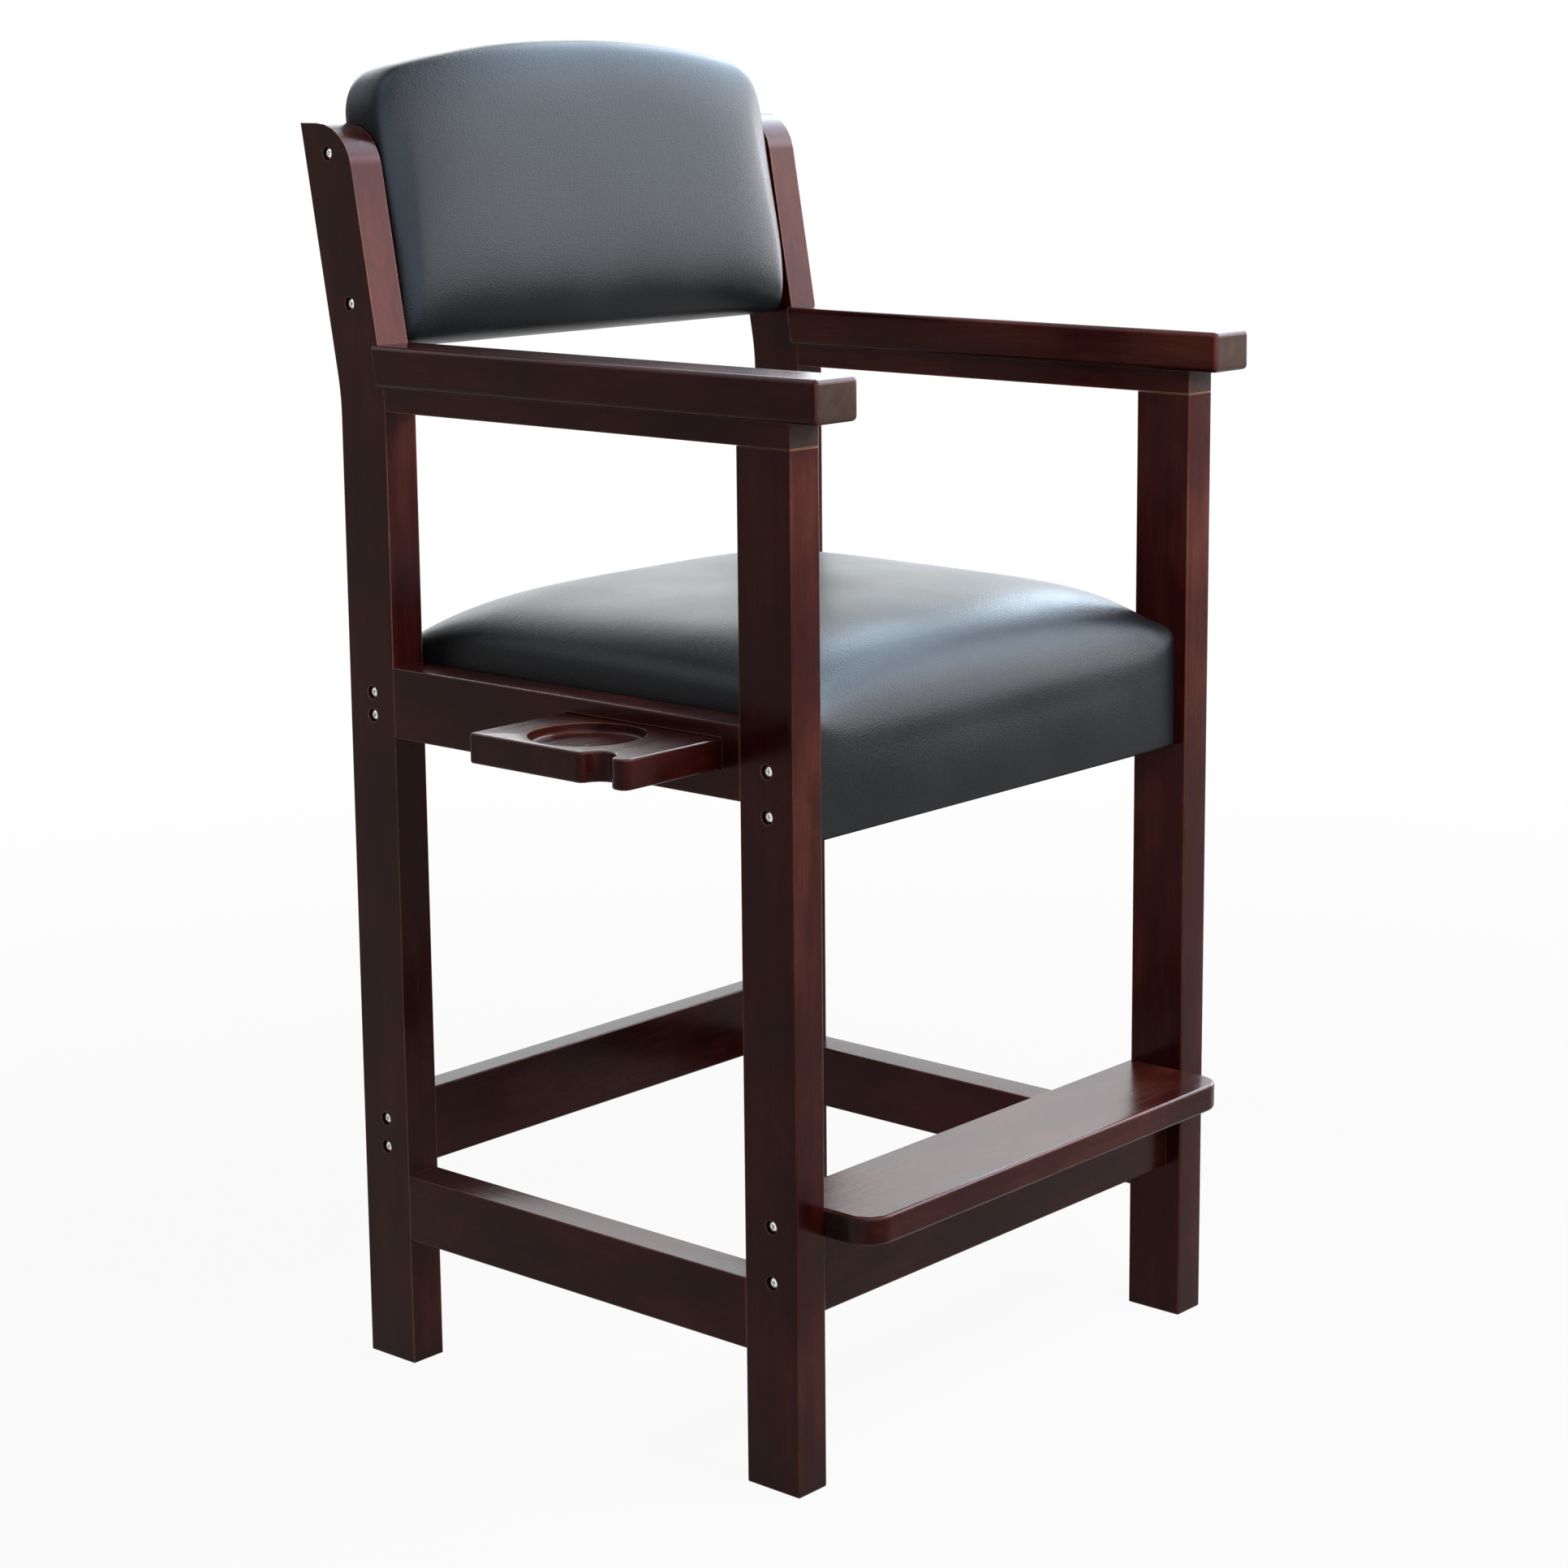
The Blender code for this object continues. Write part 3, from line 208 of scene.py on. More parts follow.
class Tree:
    """Builds one material's nodes. A value that is a socket is linked, and any other is set on the input."""

    def __init__(self, name):
        self.material = bpy.data.materials.new(name)
        self.material.use_nodes = True
        self.nodes = self.material.node_tree.nodes
        self.links = self.material.node_tree.links
        self.shader = self.nodes["Principled BSDF"]
        self.output = self.nodes["Material Output"]

    def put(self, socket, value):
        if isinstance(value, bpy.types.NodeSocket):
            self.links.new(value, socket)
        else:
            socket.default_value = value

    def add(self, kind, inputs=None, **settings):
        made = self.nodes.new(kind)
        for key, value in settings.items():
            setattr(made, key, value)
        for key, value in (inputs or {}).items():
            self.put(made.inputs[key], value)
        return made

    def math(self, operation, first, second=0.0):
        made = self.add("ShaderNodeMath", {0: first, 1: second}, operation=operation)
        return made.outputs[0]

    def dot(self, first, second):
        made = self.add("ShaderNodeVectorMath", {0: first, 1: second}, operation="DOT_PRODUCT")
        return made.outputs["Value"]

    def ramp(self, value, *stops):
        made = self.add("ShaderNodeValToRGB", {"Fac": value})
        points = made.color_ramp.elements
        while len(points) < len(stops):
            points.new(0.5)
        for point, (place, colour) in zip(points, stops):
            point.position = place
            point.color = (*colour, 1.0)
        return made.outputs["Color"]

    def scale_range(self, value, low, high, first=0.0, last=1.0):
        made = self.add("ShaderNodeMapRange", {0: value, 1: low, 2: high, 3: first, 4: last})
        return made.outputs[0]

    def mix(self, share, first, second):
        made = self.add("ShaderNodeMix", data_type="RGBA")
        self.put(made.inputs["Factor"], share)
        self.put(made.inputs[6], first)
        self.put(made.inputs[7], second)
        return made.outputs[2]

    def place(self, scale=(1.0, 1.0, 1.0), offset=(0.0, 0.0, 0.0)):
        coordinates = self.add("ShaderNodeTexCoord").outputs["Object"]
        made = self.add("ShaderNodeMapping", {"Vector": coordinates, "Scale": scale, "Location": offset})
        return made.outputs["Vector"]

    def noise(self, where, scale, detail=2.0, roughness=0.5, distortion=0.0):
        inputs = {"Vector": where, "Scale": scale, "Detail": detail, "Roughness": roughness}
        made = self.add("ShaderNodeTexNoise", {**inputs, "Distortion": distortion})
        return made.outputs["Fac"]

    def bump(self, height, strength, distance, normal=None):
        made = self.add("ShaderNodeBump", {"Height": height, "Strength": strength, "Distance": distance})
        if normal is not None:
            self.links.new(normal, made.inputs["Normal"])
        return made.outputs["Normal"]

    def set(self, **values):
        for key, value in values.items():
            self.put(self.shader.inputs[key.replace("_", " ")], value)


def grain_scale(axis, across):
    return tuple(1.0 if index == axis else across for index in range(3))


def wood(name, axis, seed, ends):
    """Mahogany stain under satin lacquer: grain along one axis, greyer end grain, and edges lightened partly
    for rubbed stain and partly as a painted highlight.
    """
    tree = Tree(name)
    shift = (seed * 1.37, seed * 2.11, seed * 0.73)

    def grain(across, *settings):
        return tree.noise(tree.place(grain_scale(axis, across), shift), *settings)

    streak = grain(14.0, 3.6, 6.0, 0.62, 0.4)
    fine = grain(36.0, 13.0, 4.0, 0.6)
    pores = grain(16.0, 95.0, 2.0, 0.5)
    cloud = grain(2.0, 8.0, 4.0, 0.55)
    tone = tree.math("ADD", tree.math("MULTIPLY", streak, 0.30), tree.math("MULTIPLY", fine, 0.12))
    tone = tree.math("ADD", tone, tree.math("MULTIPLY", cloud, 0.58))
    pit = tree.scale_range(pores, 0.56, 0.68)
    stain = tree.mix(tree.math("MULTIPLY", pit, 0.30), tree.ramp(tone, *STAIN), PORE_COLOUR)
    geometry = tree.add("ShaderNodeNewGeometry")
    along = tuple(1.0 if index == axis else 0.0 for index in range(3))
    facing = tree.dot(geometry.outputs["Normal"], along)
    end = tree.scale_range(tree.math("ABSOLUTE", facing), 0.75, 0.95)
    rings = tree.noise(tree.place(offset=shift), 90.0, 3.0, 0.6)
    stain = tree.mix(tree.math("MULTIPLY", end, ends), stain, tree.ramp(rings, *END_COLOURS))
    # Darker towards the bottom, near the floor, with a slightly uneven upper border
    height = tree.add("ShaderNodeSeparateXYZ", {0: tree.place()}).outputs["Z"]
    uneven = tree.math("ADD", height, tree.math("MULTIPLY", cloud, 0.03))
    foot_dark = tree.scale_range(uneven, *FOOT_DARK_HEIGHTS)
    stain = tree.mix(tree.math("MULTIPLY", foot_dark, 0.6), stain, FOOT_DARK_COLOUR)
    # Rounded edges are lightened, partly for rubbed stain and partly as a painted highlight
    bevel = tree.add("ShaderNodeBevel", {"Radius": EDGE_RADIUS}, samples=6)
    bent = tree.dot(bevel.outputs["Normal"], geometry.outputs["True Normal"])
    edge = tree.scale_range(bent, 0.985, 0.80)
    wear_and_highlight = tree.math("MULTIPLY", edge, tree.scale_range(cloud, 0.38, 0.62, 0.45, 1.0))
    stain = tree.mix(wear_and_highlight, stain, EDGE_WEAR_AND_HIGHLIGHT_COLOUR)
    normal = tree.bump(grain(4.0, 9.0, 2.0), 0.10, 0.002)
    normal = tree.bump(pit, 0.12, 0.0002, normal)
    rough = tree.scale_range(tree.math("ADD", fine, cloud), 0.7, 1.3, *WOOD_ROUGHNESS)
    tree.set(Base_Color=stain, Roughness=rough, Normal=normal)
    tree.set(Specular_IOR_Level=WOOD_GLOSS, Specular_Tint=WOOD_GLOSS_TINT)
    return tree.material


def vinyl(name, seed):
    """Black leathercloth: small pebbled cells with painted shade in their hollows, a soft sheen and slow
    changes of gloss.
    """
    tree = Tree(name)
    shift = (seed * 0.9, seed * 1.7, seed * 0.4)
    where = tree.place(offset=shift)
    warp = tree.add("ShaderNodeTexNoise", {"Vector": where, "Scale": 160.0, "Detail": 2.0})
    amount = tree.add("ShaderNodeVectorMath", {0: warp.outputs["Color"], "Scale": 0.004}, operation="SCALE")
    moved = tree.add("ShaderNodeVectorMath", {0: where, 1: amount.outputs[0]}, operation="ADD").outputs[0]
    cells = tree.add("ShaderNodeTexVoronoi", {"Vector": moved, "Scale": 360.0}, feature="DISTANCE_TO_EDGE")
    pebble = tree.scale_range(cells.outputs["Distance"], 0.0, 0.22)
    crease = tree.noise(where, 240.0, 3.0, 0.6)
    slow = tree.noise(where, 11.0, 2.0)
    # Painted shade, darkening the hollows between the pebbles
    hollow_shade = tree.scale_range(pebble, 0.0, 0.6, 0.20, 0.0)
    colour = tree.mix(hollow_shade, tree.ramp(slow, *VINYL_COLOURS), VINYL_HOLLOW_SHADE)
    height = tree.math("ADD", tree.math("MULTIPLY", pebble, 0.6), tree.math("MULTIPLY", crease, 0.5))
    normal = tree.bump(height, 0.30, 0.0004)
    rough = tree.scale_range(slow, 0.3, 0.7, *VINYL_ROUGHNESS)
    tree.set(Base_Color=colour, Roughness=rough, Normal=normal)
    tree.set(Specular_IOR_Level=VINYL_GLOSS, Specular_Tint=VINYL_GLOSS_TINT)
    return tree.material


def plywood(name):
    """Birch plywood: grain on the faces and alternating plies on the edges."""
    tree = Tree(name)
    grain = tree.noise(tree.place((3.0, 60.0, 60.0)), 4.0, 5.0, 0.6)
    face = tree.ramp(grain, *PLY_FACES)
    plies = tree.add("ShaderNodeTexWave", {"Vector": tree.place(), "Scale": 130.0}, bands_direction="Z")
    edge = tree.ramp(plies.outputs["Fac"], *PLY_EDGES)
    facing = tree.add("ShaderNodeNewGeometry").outputs["Normal"]
    up = tree.add("ShaderNodeSeparateXYZ", {0: facing}).outputs["Z"]
    level = tree.scale_range(tree.math("ABSOLUTE", up), 0.5, 0.8)
    rough = tree.scale_range(grain, 0.3, 0.7, *PLY_ROUGHNESS)
    normal = tree.bump(grain, 0.1, 0.0006)
    tree.set(Base_Color=tree.mix(level, edge, face), Roughness=rough, Normal=normal)
    return tree.material


def zinc(name):
    """Bright zinc plate, a little scratched and dulled in patches."""
    tree = Tree(name)
    dull = tree.noise(tree.place(), 380.0, 3.0, 0.6)
    scratch = tree.noise(tree.place((1.0, 1.0, 14.0)), 900.0, 2.0)
    rough = tree.scale_range(tree.math("ADD", dull, scratch), 0.8, 1.2, *ZINC_ROUGHNESS)
    normal = tree.bump(scratch, 0.08, 0.0002)
    tree.set(Base_Color=tree.ramp(dull, *ZINC_COLOURS), Roughness=rough, Metallic=1.0, Normal=normal)
    return tree.material


def seen_share(tree):
    """1 for camera, glossy and transmission rays, which see the white background, and 0 for others."""
    path = tree.nodes.new("ShaderNodeLightPath")
    share = path.outputs["Is Camera Ray"]
    for kind in ("Is Glossy Ray", "Is Transmission Ray"):
        either = tree.nodes.new("ShaderNodeMath")
        either.operation = "MAXIMUM"
        tree.links.new(share, either.inputs[0])
        tree.links.new(path.outputs[kind], either.inputs[1])
        share = either.outputs[0]
    return share


# Dressing the CAD nodes


def soften_group():
    """Geometry nodes that join a node's split triangles and shade its rounded edges smoothly."""
    group = bpy.data.node_groups.new("soften", "GeometryNodeTree")
    group.interface.new_socket("Geometry", in_out="INPUT", socket_type="NodeSocketGeometry")
    group.interface.new_socket("Geometry", in_out="OUTPUT", socket_type="NodeSocketGeometry")
    start = group.nodes.new("NodeGroupInput")
    end = group.nodes.new("NodeGroupOutput")
    bare = group.nodes.new("GeometryNodeRemoveAttribute")
    bare.inputs["Name"].default_value = "custom_normal"
    merge = group.nodes.new("GeometryNodeMergeByDistance")
    merge.inputs["Distance"].default_value = MERGE_DISTANCE
    faces = group.nodes.new("GeometryNodeSetShadeSmooth")
    angle = group.nodes.new("GeometryNodeInputMeshEdgeAngle")
    sharp = group.nodes.new("FunctionNodeCompare")
    sharp.operation = "LESS_THAN"
    sharp.inputs[1].default_value = SMOOTH_ANGLE
    edges = group.nodes.new("GeometryNodeSetShadeSmooth")
    edges.domain = "EDGE"
    link = group.links.new
    link(start.outputs[0], bare.inputs["Geometry"])
    link(bare.outputs["Geometry"], merge.inputs["Geometry"])
    link(merge.outputs["Geometry"], faces.inputs["Geometry"])
    link(faces.outputs["Geometry"], edges.inputs["Geometry"])
    link(angle.outputs["Unsigned Angle"], sharp.inputs[0])
    link(sharp.outputs["Result"], edges.inputs["Shade Smooth"])
    link(edges.outputs["Geometry"], end.inputs[0])
    return group


def dress(obj, material, group):
    obj.data.materials.clear()
    obj.data.materials.append(material)
    obj.modifiers.new("soften", "NODES").node_group = group
    weighted = obj.modifiers.new("weighted", "WEIGHTED_NORMAL")
    weighted.mode = "FACE_AREA_WITH_ANGLE"
    weighted.keep_sharp = True


def grain_axis(node):
    low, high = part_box(node)
    size = high - low
    return max(range(3), key=lambda index: size[index])


def dress_nodes():
    group = soften_group()
    boards = {"seat_board": plywood("plywood_board")}
    boards["backrest_board"] = boards["seat_board"]
    seed = 0
    for name in sorted(NODES):
        if name.endswith("_screw") or name in SEAT_NODES + BACK_NODES:
            continue
        seed += 1
        if name in boards:
            dress(NODES[name], boards[name], group)
        else:
            ends = TRAY_ENDS if name == "drink_tray" else END_GRAIN
            dress(NODES[name], wood("wood_" + name, grain_axis(name), seed, ends), group)


# Meshes


def new_object(name, bm, material, smooth=True):
    mesh = bpy.data.meshes.new(name)
    bmesh.ops.recalc_face_normals(bm, faces=bm.faces[:])
    for face in bm.faces:
        face.smooth = smooth
    bm.to_mesh(mesh)
    bm.free()
    mesh.materials.append(material)
    obj = bpy.data.objects.new(name, mesh)
    bpy.context.scene.collection.objects.link(obj)
    return obj


def apply_modifiers(obj):
    bpy.context.view_layer.update()
    shape = obj.evaluated_get(bpy.context.evaluated_depsgraph_get())
    mesh = bpy.data.meshes.new_from_object(shape)
    obj.modifiers.clear()
    obj.data = mesh


def spaced(first, last, count):
    """Values from first to last, closer together towards the ends."""
    middle = (first + last) / 2
    half = (last - first) / 2
    return [middle - half * math.cos(math.pi * step / count) for step in range(count + 1)]


def bulge(share, power):
    """A superellipse: 1 in the middle and 0 at both ends."""
    return max(1 - abs(share) ** power, 0.0) ** (1 / power)


def add_grid(bm, place, across, along):
    """A sheet of faces, and the loop of points round its border."""
    rows = [[bm.verts.new(place(u, v)) for u in across] for v in along]
    for low, high in zip(rows, rows[1:]):
        for i in range(len(across) - 1):
            bm.faces.new((low[i], low[i + 1], high[i + 1], high[i]))
    right = [row[-1] for row in rows[1:-1]]
    left = [row[0] for row in reversed(rows[1:-1])]
    return rows[0] + right + rows[-1][::-1] + left


def add_strip(bm, chain, place, closed=False):
    moved = [bm.verts.new(place(vert.co)) for vert in chain]
    for i in range(len(chain) if closed else len(chain) - 1):
        j = (i + 1) % len(chain)
        bm.faces.new((chain[i], chain[j], moved[j], moved[i]))
    return moved


def new_sheet():
    """An empty mesh and its layer of creases."""
    bm = bmesh.new()
    return bm, bm.edges.layers.float.new("crease_edge")


def fold(bm, creases, chain, closed=False):
    """Keeps the edges along a chain sharp when the cover is subdivided."""
    for first, second in zip(chain, chain[1:] + (chain[:1] if closed else [])):
        bm.edges.get((first, second))[creases] = FOLD


def neighbours(mesh):
    near = [[] for vert in mesh.vertices]
    for edge in mesh.edges:
        first, second = edge.vertices
        near[first].append(second)
        near[second].append(first)
    return near


def averaged(values, near, fixed, steps):
    """Values averaged with their neighbours' again and again, apart from the fixed ones."""
    for step in range(steps):
        values = [
            value if i in fixed else (value + sum((values[j] for j in near[i]), value * 0) / len(near[i])) / 2
            for i, value in enumerate(values)
        ]
    return values


def held_points(bm, free):
    """Indices of the points that the cloth simulation leaves where they are."""
    bm.verts.index_update()
    loose = {vert.index for vert in free}
    return [vert.index for vert in bm.verts if vert.index not in loose]


def set_points(mesh, points):
    mesh.vertices.foreach_set("co", [number for point in points for number in point])
    mesh.update()


def swell(obj, held):
    """Cloth under pressure, from a smaller start: the free points move outwards, by no more than a cap."""
    mesh = obj.data
    near = neighbours(mesh)
    fixed = set(held)
    room = averaged([0.0 if i in fixed else SWELL for i in range(len(near))], near, fixed, SMOOTHING)
    start = [vert.co - vert.normal * gap for vert, gap in zip(mesh.vertices, room)]
    set_points(mesh, start)
    obj.vertex_groups.new(name=HELD).add(held, 1.0, "REPLACE")
    cloth = obj.modifiers.new("cloth", "CLOTH")
    for key, value in CLOTH.items():
        setattr(cloth.settings, key, value)
    cloth.settings.effector_weights.gravity = 0.0
    cloth.collision_settings.use_collision = False
    cloth.point_cache.frame_start = 1
    cloth.point_cache.frame_end = CLOTH_FRAMES
    scene = bpy.context.scene
    for step in range(1, CLOTH_FRAMES + 1):
        scene.frame_set(step)
    apply_modifiers(obj)
    scene.frame_set(1)
    obj.vertex_groups.clear()
    moves = [vert.co - old for vert, old in zip(obj.data.vertices, start)]
    moves = [move * (SWELL_CAP / max(move.length, SWELL_CAP)) for move in moves]
    moves = averaged(moves, near, fixed, SMOOTHING)
    set_points(obj.data, [old + move for old, move in zip(start, moves)])


def finish_cover(obj, held, nodes, rounding):
    """Simulates a cover, adds its slack, gives it its thickness and lets it stand for CAD nodes."""
    fixed = set(held)
    points = [vert.co.copy() for vert in obj.data.vertices]
    set_points(obj.data, averaged(points, neighbours(obj.data), fixed, rounding))
    swell(obj, held)
    normals = [vert.normal.copy() for vert in obj.data.vertices]
    for vert, normal in zip(obj.data.vertices, normals):
        if vert.index not in fixed:
            vert.co += normal * (SLACK * noise.noise(vert.co * SLACK_SCALE))
    subdivide = obj.modifiers.new("subdivide", "SUBSURF")
    subdivide.levels = 1
    subdivide.render_levels = 1
    thick = obj.modifiers.new("vinyl", "SOLIDIFY")
    thick.thickness = VINYL
    thick.offset = -1.0
    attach(obj, BODY)
    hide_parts(*nodes)


def seat_rows(flange_y, roll_y, peak, depth):
    """How far each row lies behind the front: round the roll, up to the peak and down to the rear."""
    flange = math.acos(1 - flange_y / ROLL_RADIUS)
    angles = [flange * step / FLANGE_ROWS for step in range(FLANGE_ROWS)]
    angles += [flange + (ROLL_TURN - flange) * step / ROLL_ROWS for step in range(ROLL_ROWS)]
    rows = [ROLL_RADIUS * (1 - math.cos(angle)) for angle in angles]
    rows += [roll_y + (peak - roll_y) * (step / TOP_ROWS) ** TOP_SPACING for step in range(TOP_ROWS)]
    turns = [math.pi / 2 * step / REAR_ROWS for step in range(REAR_ROWS + 1)]
    return rows + [peak + (depth - peak) * math.sin(turn) for turn in turns]


def seat():
    """The seat's cover: a crowned top with a front roll, skirts, an apron and hems."""
    low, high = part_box("seat_cover")
    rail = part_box("seat_front_rail")
    rear_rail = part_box("seat_rear_rail")
    middle_x = (low.x + high.x) / 2
    half_x = (high.x - low.x) / 2
    front = low.y + APRON_BELLY
    rear = high.y
    depth = rear - front
    peak = depth * SEAT_PEAK
    edge_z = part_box("seat_board")[1].z + EDGE_LIFT
    full = high.z - edge_z + ROLL_DROP
    roll_y = ROLL_RADIUS * (1 - math.cos(ROLL_TURN))
    roll_z = ROLL_RADIUS * math.sin(ROLL_TURN)
    power = (peak - roll_y) / math.tan(ROLL_TURN) / (full - roll_z)
    rear_bottom = rear_rail[0].z - SKIN
    flange_y = rail[0].y - front

    def profile(y):
        """Height above the roll's start: a round roll, then a crown up to the peak, then down to the rear."""
        if y < roll_y:
            return math.sqrt(ROLL_RADIUS**2 - (ROLL_RADIUS - y) ** 2)
        ahead = max(peak - y, 0.0) / (peak - roll_y)
        return (full - (full - roll_z) * ahead**power) * bulge(max(y - peak, 0.0) / (depth - peak), 2)

    def corner(u):
        """How far the front draws back towards the upright corners."""
        share = min(max(1 - (1 - abs(u)) * half_x / CORNER_WIDTH, 0.0), 1.0)
        return CORNER_DEPTH * (1 - math.sqrt(1 - share**2))

    def place(u, y):
        near_front = max(1 - y / ROLL_BLEND, 0.0) ** 2
        base = edge_z - ROLL_DROP * near_front * (1 - abs(u) ** ROLL_CORNER)
        boxy = SEAT_SIDE_POWER[0] + (SEAT_SIDE_POWER[1] - SEAT_SIDE_POWER[0]) * y / depth
        boxy += ROLL_BOX * max(1 - y / ROLL_BOX_DEPTH, 0.0) ** 2
        rise = profile(y) * bulge(u, boxy) * (high.z - base) / full
        drawn = corner(u) * max(1 - y / flange_y, 0.0)
        return (middle_x + half_x * u, front + y + drawn, base + rise)

    bm, creases = new_sheet()
    across = spaced(-1.0, 1.0, SEAT_ACROSS)
    along = seat_rows(flange_y, roll_y, peak, depth)
    loop = add_grid(bm, place, across, along)
    width = len(across)
    border = set(loop)
    free = [vert for vert in bm.verts if vert not in border] + loop[1 : width - 1]
    for row in range(SKIRT_ROWS):
        loop = add_strip(bm, loop, lambda p: (p.x, p.y, p.z - SKIRT / SKIRT_ROWS), closed=True)
        free += loop[1 : width - 1]
    chain = loop[-FLANGE_ROWS:] + loop[: width + FLANGE_ROWS]
    for step in range(1, APRON_ROWS + 1):
        left = APRON_ROWS + 1 - step
        belly = APRON_BELLY * math.sin(math.pi * step / APRON_ROWS)

        def hang(p):
            share = (p.x - middle_x) / half_x
            at_front = abs(share) < 1 - TINY
            y = front + corner(share) - belly * (1 - share**2) if at_front else p.y
            return (p.x, y, p.z + (low.z - p.z) / left)

        chain = add_strip(bm, chain, hang)
        free += chain[FLANGE_ROWS + 1 : -FLANGE_ROWS - 1] if step < APRON_ROWS else []
    bottom = chain[FLANGE_ROWS : -FLANGE_ROWS]
    add_strip(bm, bottom, lambda p: (p.x, p.y + HEM, p.z))
    fold(bm, creases, bottom)
    begin = width + len(along) - 2
    back = add_strip(bm, loop[begin : begin + width], lambda p: (p.x, p.y, rear_bottom))
    add_strip(bm, back, lambda p: (p.x, p.y - HEM, p.z))
    fold(bm, creases, back)
    held = held_points(bm, free)
    obj = new_object("seat_upholstery", bm, vinyl("vinyl_seat", 1))
    finish_cover(obj, held, SEAT_NODES, SEAT_ROUNDING)


def leaned(node, turn):
    """A node's box once the backrest is turned upright."""
    points = [turn @ vert.co for vert in NODES[node].data.vertices]
    low = Vector([min(point[index] for point in points) for index in range(3)])
    high = Vector([max(point[index] for point in points) for index in range(3)])
    return low, high


def arc(centre, radius, start, end, steps):
    angles = [start + (end - start) * step / steps for step in range(steps + 1)]
    return [(centre[0] + radius * math.cos(a), centre[1] + radius * math.sin(a)) for a in angles]


def back_columns(half, bottom, top):
    """Matching points on the lower and upper edge of the backrest, from one side to the other."""
    arch_z = top - BACK_ARCH_RADIUS
    corner_x = half - BACK_TOP_CORNER
    corner_z = arch_z + math.sqrt((BACK_ARCH_RADIUS - BACK_TOP_CORNER) ** 2 - corner_x**2)
    lean = math.atan2(corner_z - arch_z, corner_x)
    upper = arc((corner_x, corner_z), BACK_TOP_CORNER, 0.0, lean, BACK_STEPS)
    upper += arc((0.0, arch_z), BACK_ARCH_RADIUS, lean, math.pi / 2, BACK_STEPS)[1:]
    turn_x = half - BACK_LOWER_CORNER
    lower = arc((turn_x, bottom + BACK_LOWER_CORNER), BACK_LOWER_CORNER, 0.0, -math.pi / 2, BACK_STEPS)
    lower += [(turn_x * (1 - step / BACK_STEPS), bottom) for step in range(1, BACK_STEPS + 1)]
    pairs = list(zip(lower, upper))
    return [((-a, b), (-c, d)) for (a, b), (c, d) in pairs] + pairs[-2::-1]


def backrest():
    """The backrest's cover: a crowned front with an arched top, edges round the board and hems behind it."""
    turn = Matrix.Rotation(RAKE, 3, "X")
    low, high = leaned("backrest_cover", turn)
    board_low, board_high = leaned("backrest_board", turn)
    middle_x = (low.x + high.x) / 2
    half = (high.x - low.x) / 2
    edge_y = board_low.y - BACK_EDGE
    height = edge_y - low.y
    behind = board_high.y + SKIN
    middle_z = (low.z + high.z) / 2
    shrink = 1 - HEM / half
    back = turn.transposed()

    def place(column, v):
        share = (v + 1) / 2
        lower, upper = (Vector(point) for point in column)
        x, z = lower.lerp(upper, share)
        power = BACK_CROWN_POWER if v > 0 else BACK_LOWER_POWER
        rise = height * bulge((lower.x + upper.x) / 2 / half, BACK_CROWN_POWER) * bulge(v, power)
        return Vector((middle_x + x, edge_y - rise, z))

    bm, creases = new_sheet()
    columns = back_columns(half, low.z, high.z)
    loop = add_grid(bm, place, columns, spaced(-1.0, 1.0, BACK_ROWS))
    border = set(loop)
    free = [vert for vert in bm.verts if vert not in border]
    for step in range(1, SKIRT_ROWS + 1):
        y = edge_y + (behind - edge_y) * step / SKIRT_ROWS
        loop = add_strip(bm, loop, lambda p: (p.x, y, p.z), closed=True)

    def hem(p):
        return (middle_x + (p.x - middle_x) * shrink, p.y, middle_z + (p.z - middle_z) * shrink)

    add_strip(bm, loop, hem, closed=True)
    fold(bm, creases, loop, closed=True)
    held = held_points(bm, free)
    bmesh.ops.transform(bm, matrix=back.to_4x4(), verts=bm.verts[:])
    obj = new_object("backrest_upholstery", bm, vinyl("vinyl_backrest", 5))
    finish_cover(obj, held, BACK_NODES, BACK_ROUNDING)


# Screws


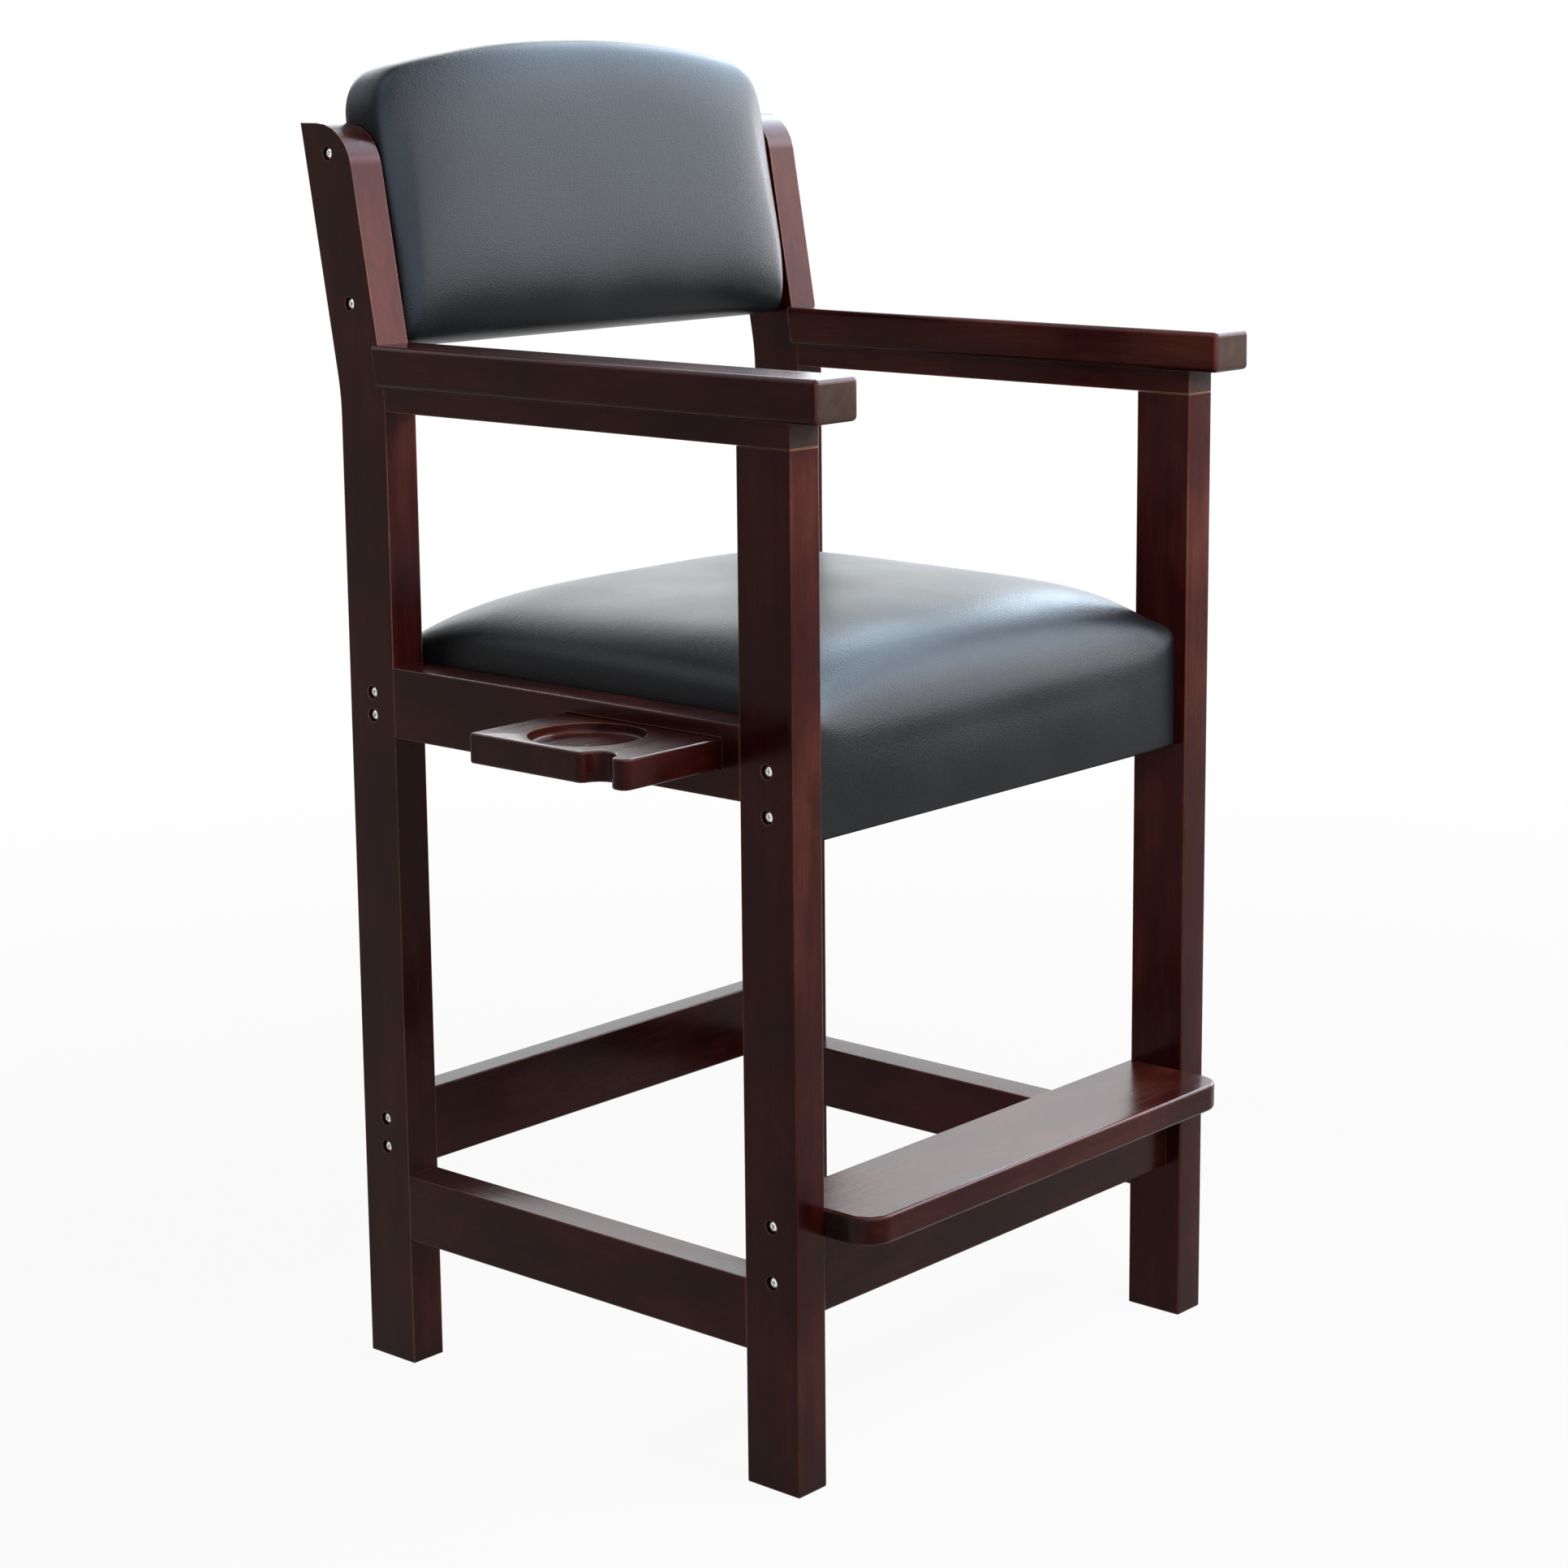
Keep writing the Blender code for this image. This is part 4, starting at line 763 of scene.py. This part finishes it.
def screw_mesh(name, head, head_height, shank, length, material):
    """A cross-head screw along +Z with its head at the origin, looking down -Z."""
    profile = [(head * radius, head_height * z) for radius, z in HEAD_PROFILE]
    profile += [(shank, head_height), (shank, length - SCREW_POINT)]
    angles = [math.tau * step / HEAD_SEGMENTS for step in range(HEAD_SEGMENTS)]
    bm = bmesh.new()
    rings = []
    for radius, z in profile:
        rings.append([bm.verts.new((radius * math.cos(a), radius * math.sin(a), z)) for a in angles])
    tips = [bm.verts.new((0.0, 0.0, z)) for z in (0.0, length)]
    for i in range(HEAD_SEGMENTS):
        j = (i + 1) % HEAD_SEGMENTS
        bm.faces.new((tips[0], rings[0][j], rings[0][i]))
        bm.faces.new((tips[1], rings[-1][i], rings[-1][j]))
        for near, far in zip(rings, rings[1:]):
            bm.faces.new((near[i], near[j], far[j], far[i]))
    body = new_object(name, bm, material)
    cutters = []
    for turn in (0.0, math.pi / 2):
        bm = bmesh.new()
        bmesh.ops.create_cube(bm, size=1.0)
        for vert in bm.verts:
            deep = vert.co.z > 0
            taper = CROSS_TAPER if deep else 1.0
            vert.co.x *= 2 * head * CROSS_REACH * taper
            vert.co.y *= 2 * head * CROSS_WIDTH * (0.5 + 0.5 * taper) / 2
            vert.co.z = head_height * CROSS_DEPTH if deep else -head_height
        bmesh.ops.rotate(bm, matrix=Matrix.Rotation(turn, 3, "Z"), verts=bm.verts[:])
        cutters.append(new_object(name + "_cutter", bm, material, smooth=False))
    for cutter in cutters:
        cut = body.modifiers.new("cross", "BOOLEAN")
        cut.operation = "DIFFERENCE"
        cut.solver = "EXACT"
        cut.object = cutter
    apply_modifiers(body)
    mesh = body.data
    for obj in [body] + cutters:
        bpy.data.objects.remove(obj, do_unlink=True)
    return mesh


def screws():
    steel = zinc("zinc_plate")
    meshes = {}
    names = sorted(name for name in NODES if name.endswith("_screw"))
    for count, name in enumerate(names):
        low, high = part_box(name)
        size = high - low
        axis = grain_axis(name)
        upright = axis == 2
        key = (upright, round(size[axis], 4))
        if key not in meshes:
            head = max(size[index] for index in range(3) if index != axis) / 2
            head_height = head * (SMALL_HEAD_HEIGHT if upright else FRAME_HEAD_HEIGHT)
            shank = head * (SMALL_SHANK if upright else FRAME_SHANK)
            label = "small_screw" if upright else "frame_screw"
            meshes[key] = screw_mesh(label, head, head_height, shank, size[axis], steel)
        middle = (low + high) / 2
        if upright:
            place = Vector((middle.x, middle.y, low.z))
            turn = Matrix.Identity(3)
        else:
            outward = -1 if middle.x < DATUM.x else 1
            place = Vector((low.x if outward < 0 else high.x, middle.y, middle.z))
            turn = Vector((-outward, 0, 0)).to_track_quat("Z", "Y").to_matrix()
        turn = turn @ Matrix.Rotation(CROSS_TURN * count, 3, "Z")
        obj = bpy.data.objects.new("fitted_" + name, meshes[key])
        bpy.context.scene.collection.objects.link(obj)
        obj.matrix_world = Matrix.Translation(place) @ turn.to_4x4()
        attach(obj, BODY)
        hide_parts(name)


# Stage, light and camera


def floor():
    tree = Tree("floor")
    tree.set(Base_Color=(*FLOOR_COLOUR, 1.0), Roughness=1.0, Specular_IOR_Level=0.0)
    glow = tree.add("ShaderNodeEmission", {"Color": (1.0, 1.0, 1.0, 1.0), "Strength": 1.0})
    away = tree.add("ShaderNodeVectorMath", {0: tree.place()}, operation="LENGTH").outputs["Value"]
    share = tree.math("MULTIPLY", seen_share(tree), tree.scale_range(away, *FLOOR_FADE, *FLOOR_LIFT))
    blend = tree.add("ShaderNodeMixShader", {0: share, 1: tree.shader.outputs[0], 2: glow.outputs[0]})
    tree.links.new(blend.outputs[0], tree.output.inputs["Surface"])
    bm = bmesh.new()
    bmesh.ops.create_grid(bm, x_segments=4, y_segments=4, size=FLOOR_HALF)
    new_object("floor", bm, tree.material, smooth=False)


def area_light(name, place, size, power, colour, use):
    data = bpy.data.lights.new(name, "AREA")
    data.shape = "RECTANGLE"
    data.size, data.size_y = size
    data.energy = power
    data.color = colour
    light = bpy.data.objects.new(name, data)
    bpy.context.scene.collection.objects.link(light)
    light.location = place
    light.rotation_euler = (Vector(place) - Vector(LIGHT_AIM)).to_track_quat("Z", "Y").to_euler()
    light.visible_camera = False
    light.visible_diffuse = use != "glossy"
    light.visible_glossy = use != "diffuse"


def lights():
    world = bpy.data.worlds.new("studio")
    bpy.context.scene.world = world
    world.use_nodes = True
    tree = world.node_tree
    sky = tree.nodes["Background"]
    sky.inputs["Color"].default_value = (*WORLD_COLOUR, 1.0)
    sky.inputs["Strength"].default_value = WORLD_STRENGTH
    white = tree.nodes.new("ShaderNodeBackground")
    white.inputs["Color"].default_value = (1.0, 1.0, 1.0, 1.0)
    white.inputs["Strength"].default_value = 1.0
    blend = tree.nodes.new("ShaderNodeMixShader")
    tree.links.new(seen_share(tree), blend.inputs[0])
    tree.links.new(sky.outputs[0], blend.inputs[1])
    tree.links.new(white.outputs[0], blend.inputs[2])
    tree.links.new(blend.outputs[0], tree.nodes["World Output"].inputs["Surface"])
    for lamp in LAMPS:
        area_light(*lamp)


def camera():
    level = Vector((math.sin(CAMERA_AZIMUTH), -math.cos(CAMERA_AZIMUTH), 0.0))
    back = level * math.cos(CAMERA_ELEVATION) + Vector((0.0, 0.0, math.sin(CAMERA_ELEVATION)))
    right = Vector((0, 0, 1)).cross(back).normalized()
    up = back.cross(right)
    turned = right * math.cos(CAMERA_ROLL) + up * math.sin(CAMERA_ROLL)
    upward = up * math.cos(CAMERA_ROLL) - right * math.sin(CAMERA_ROLL)
    data = bpy.data.cameras.new("camera")
    data.sensor_width = SENSOR
    data.lens = SENSOR * CAMERA_FOCUS
    data.shift_x, data.shift_y = CAMERA_SHIFT
    obj = bpy.data.objects.new("camera", data)
    bpy.context.scene.collection.objects.link(obj)
    turn = Matrix((turned, upward, back)).transposed().to_4x4()
    obj.matrix_world = Matrix.Translation(DATUM + CAMERA_PLACE) @ turn
    bpy.context.scene.camera = obj


camera()
lights()
floor()
dress_nodes()
seat()
backrest()
screws()
bpy.context.scene.view_settings.view_transform = "Standard"
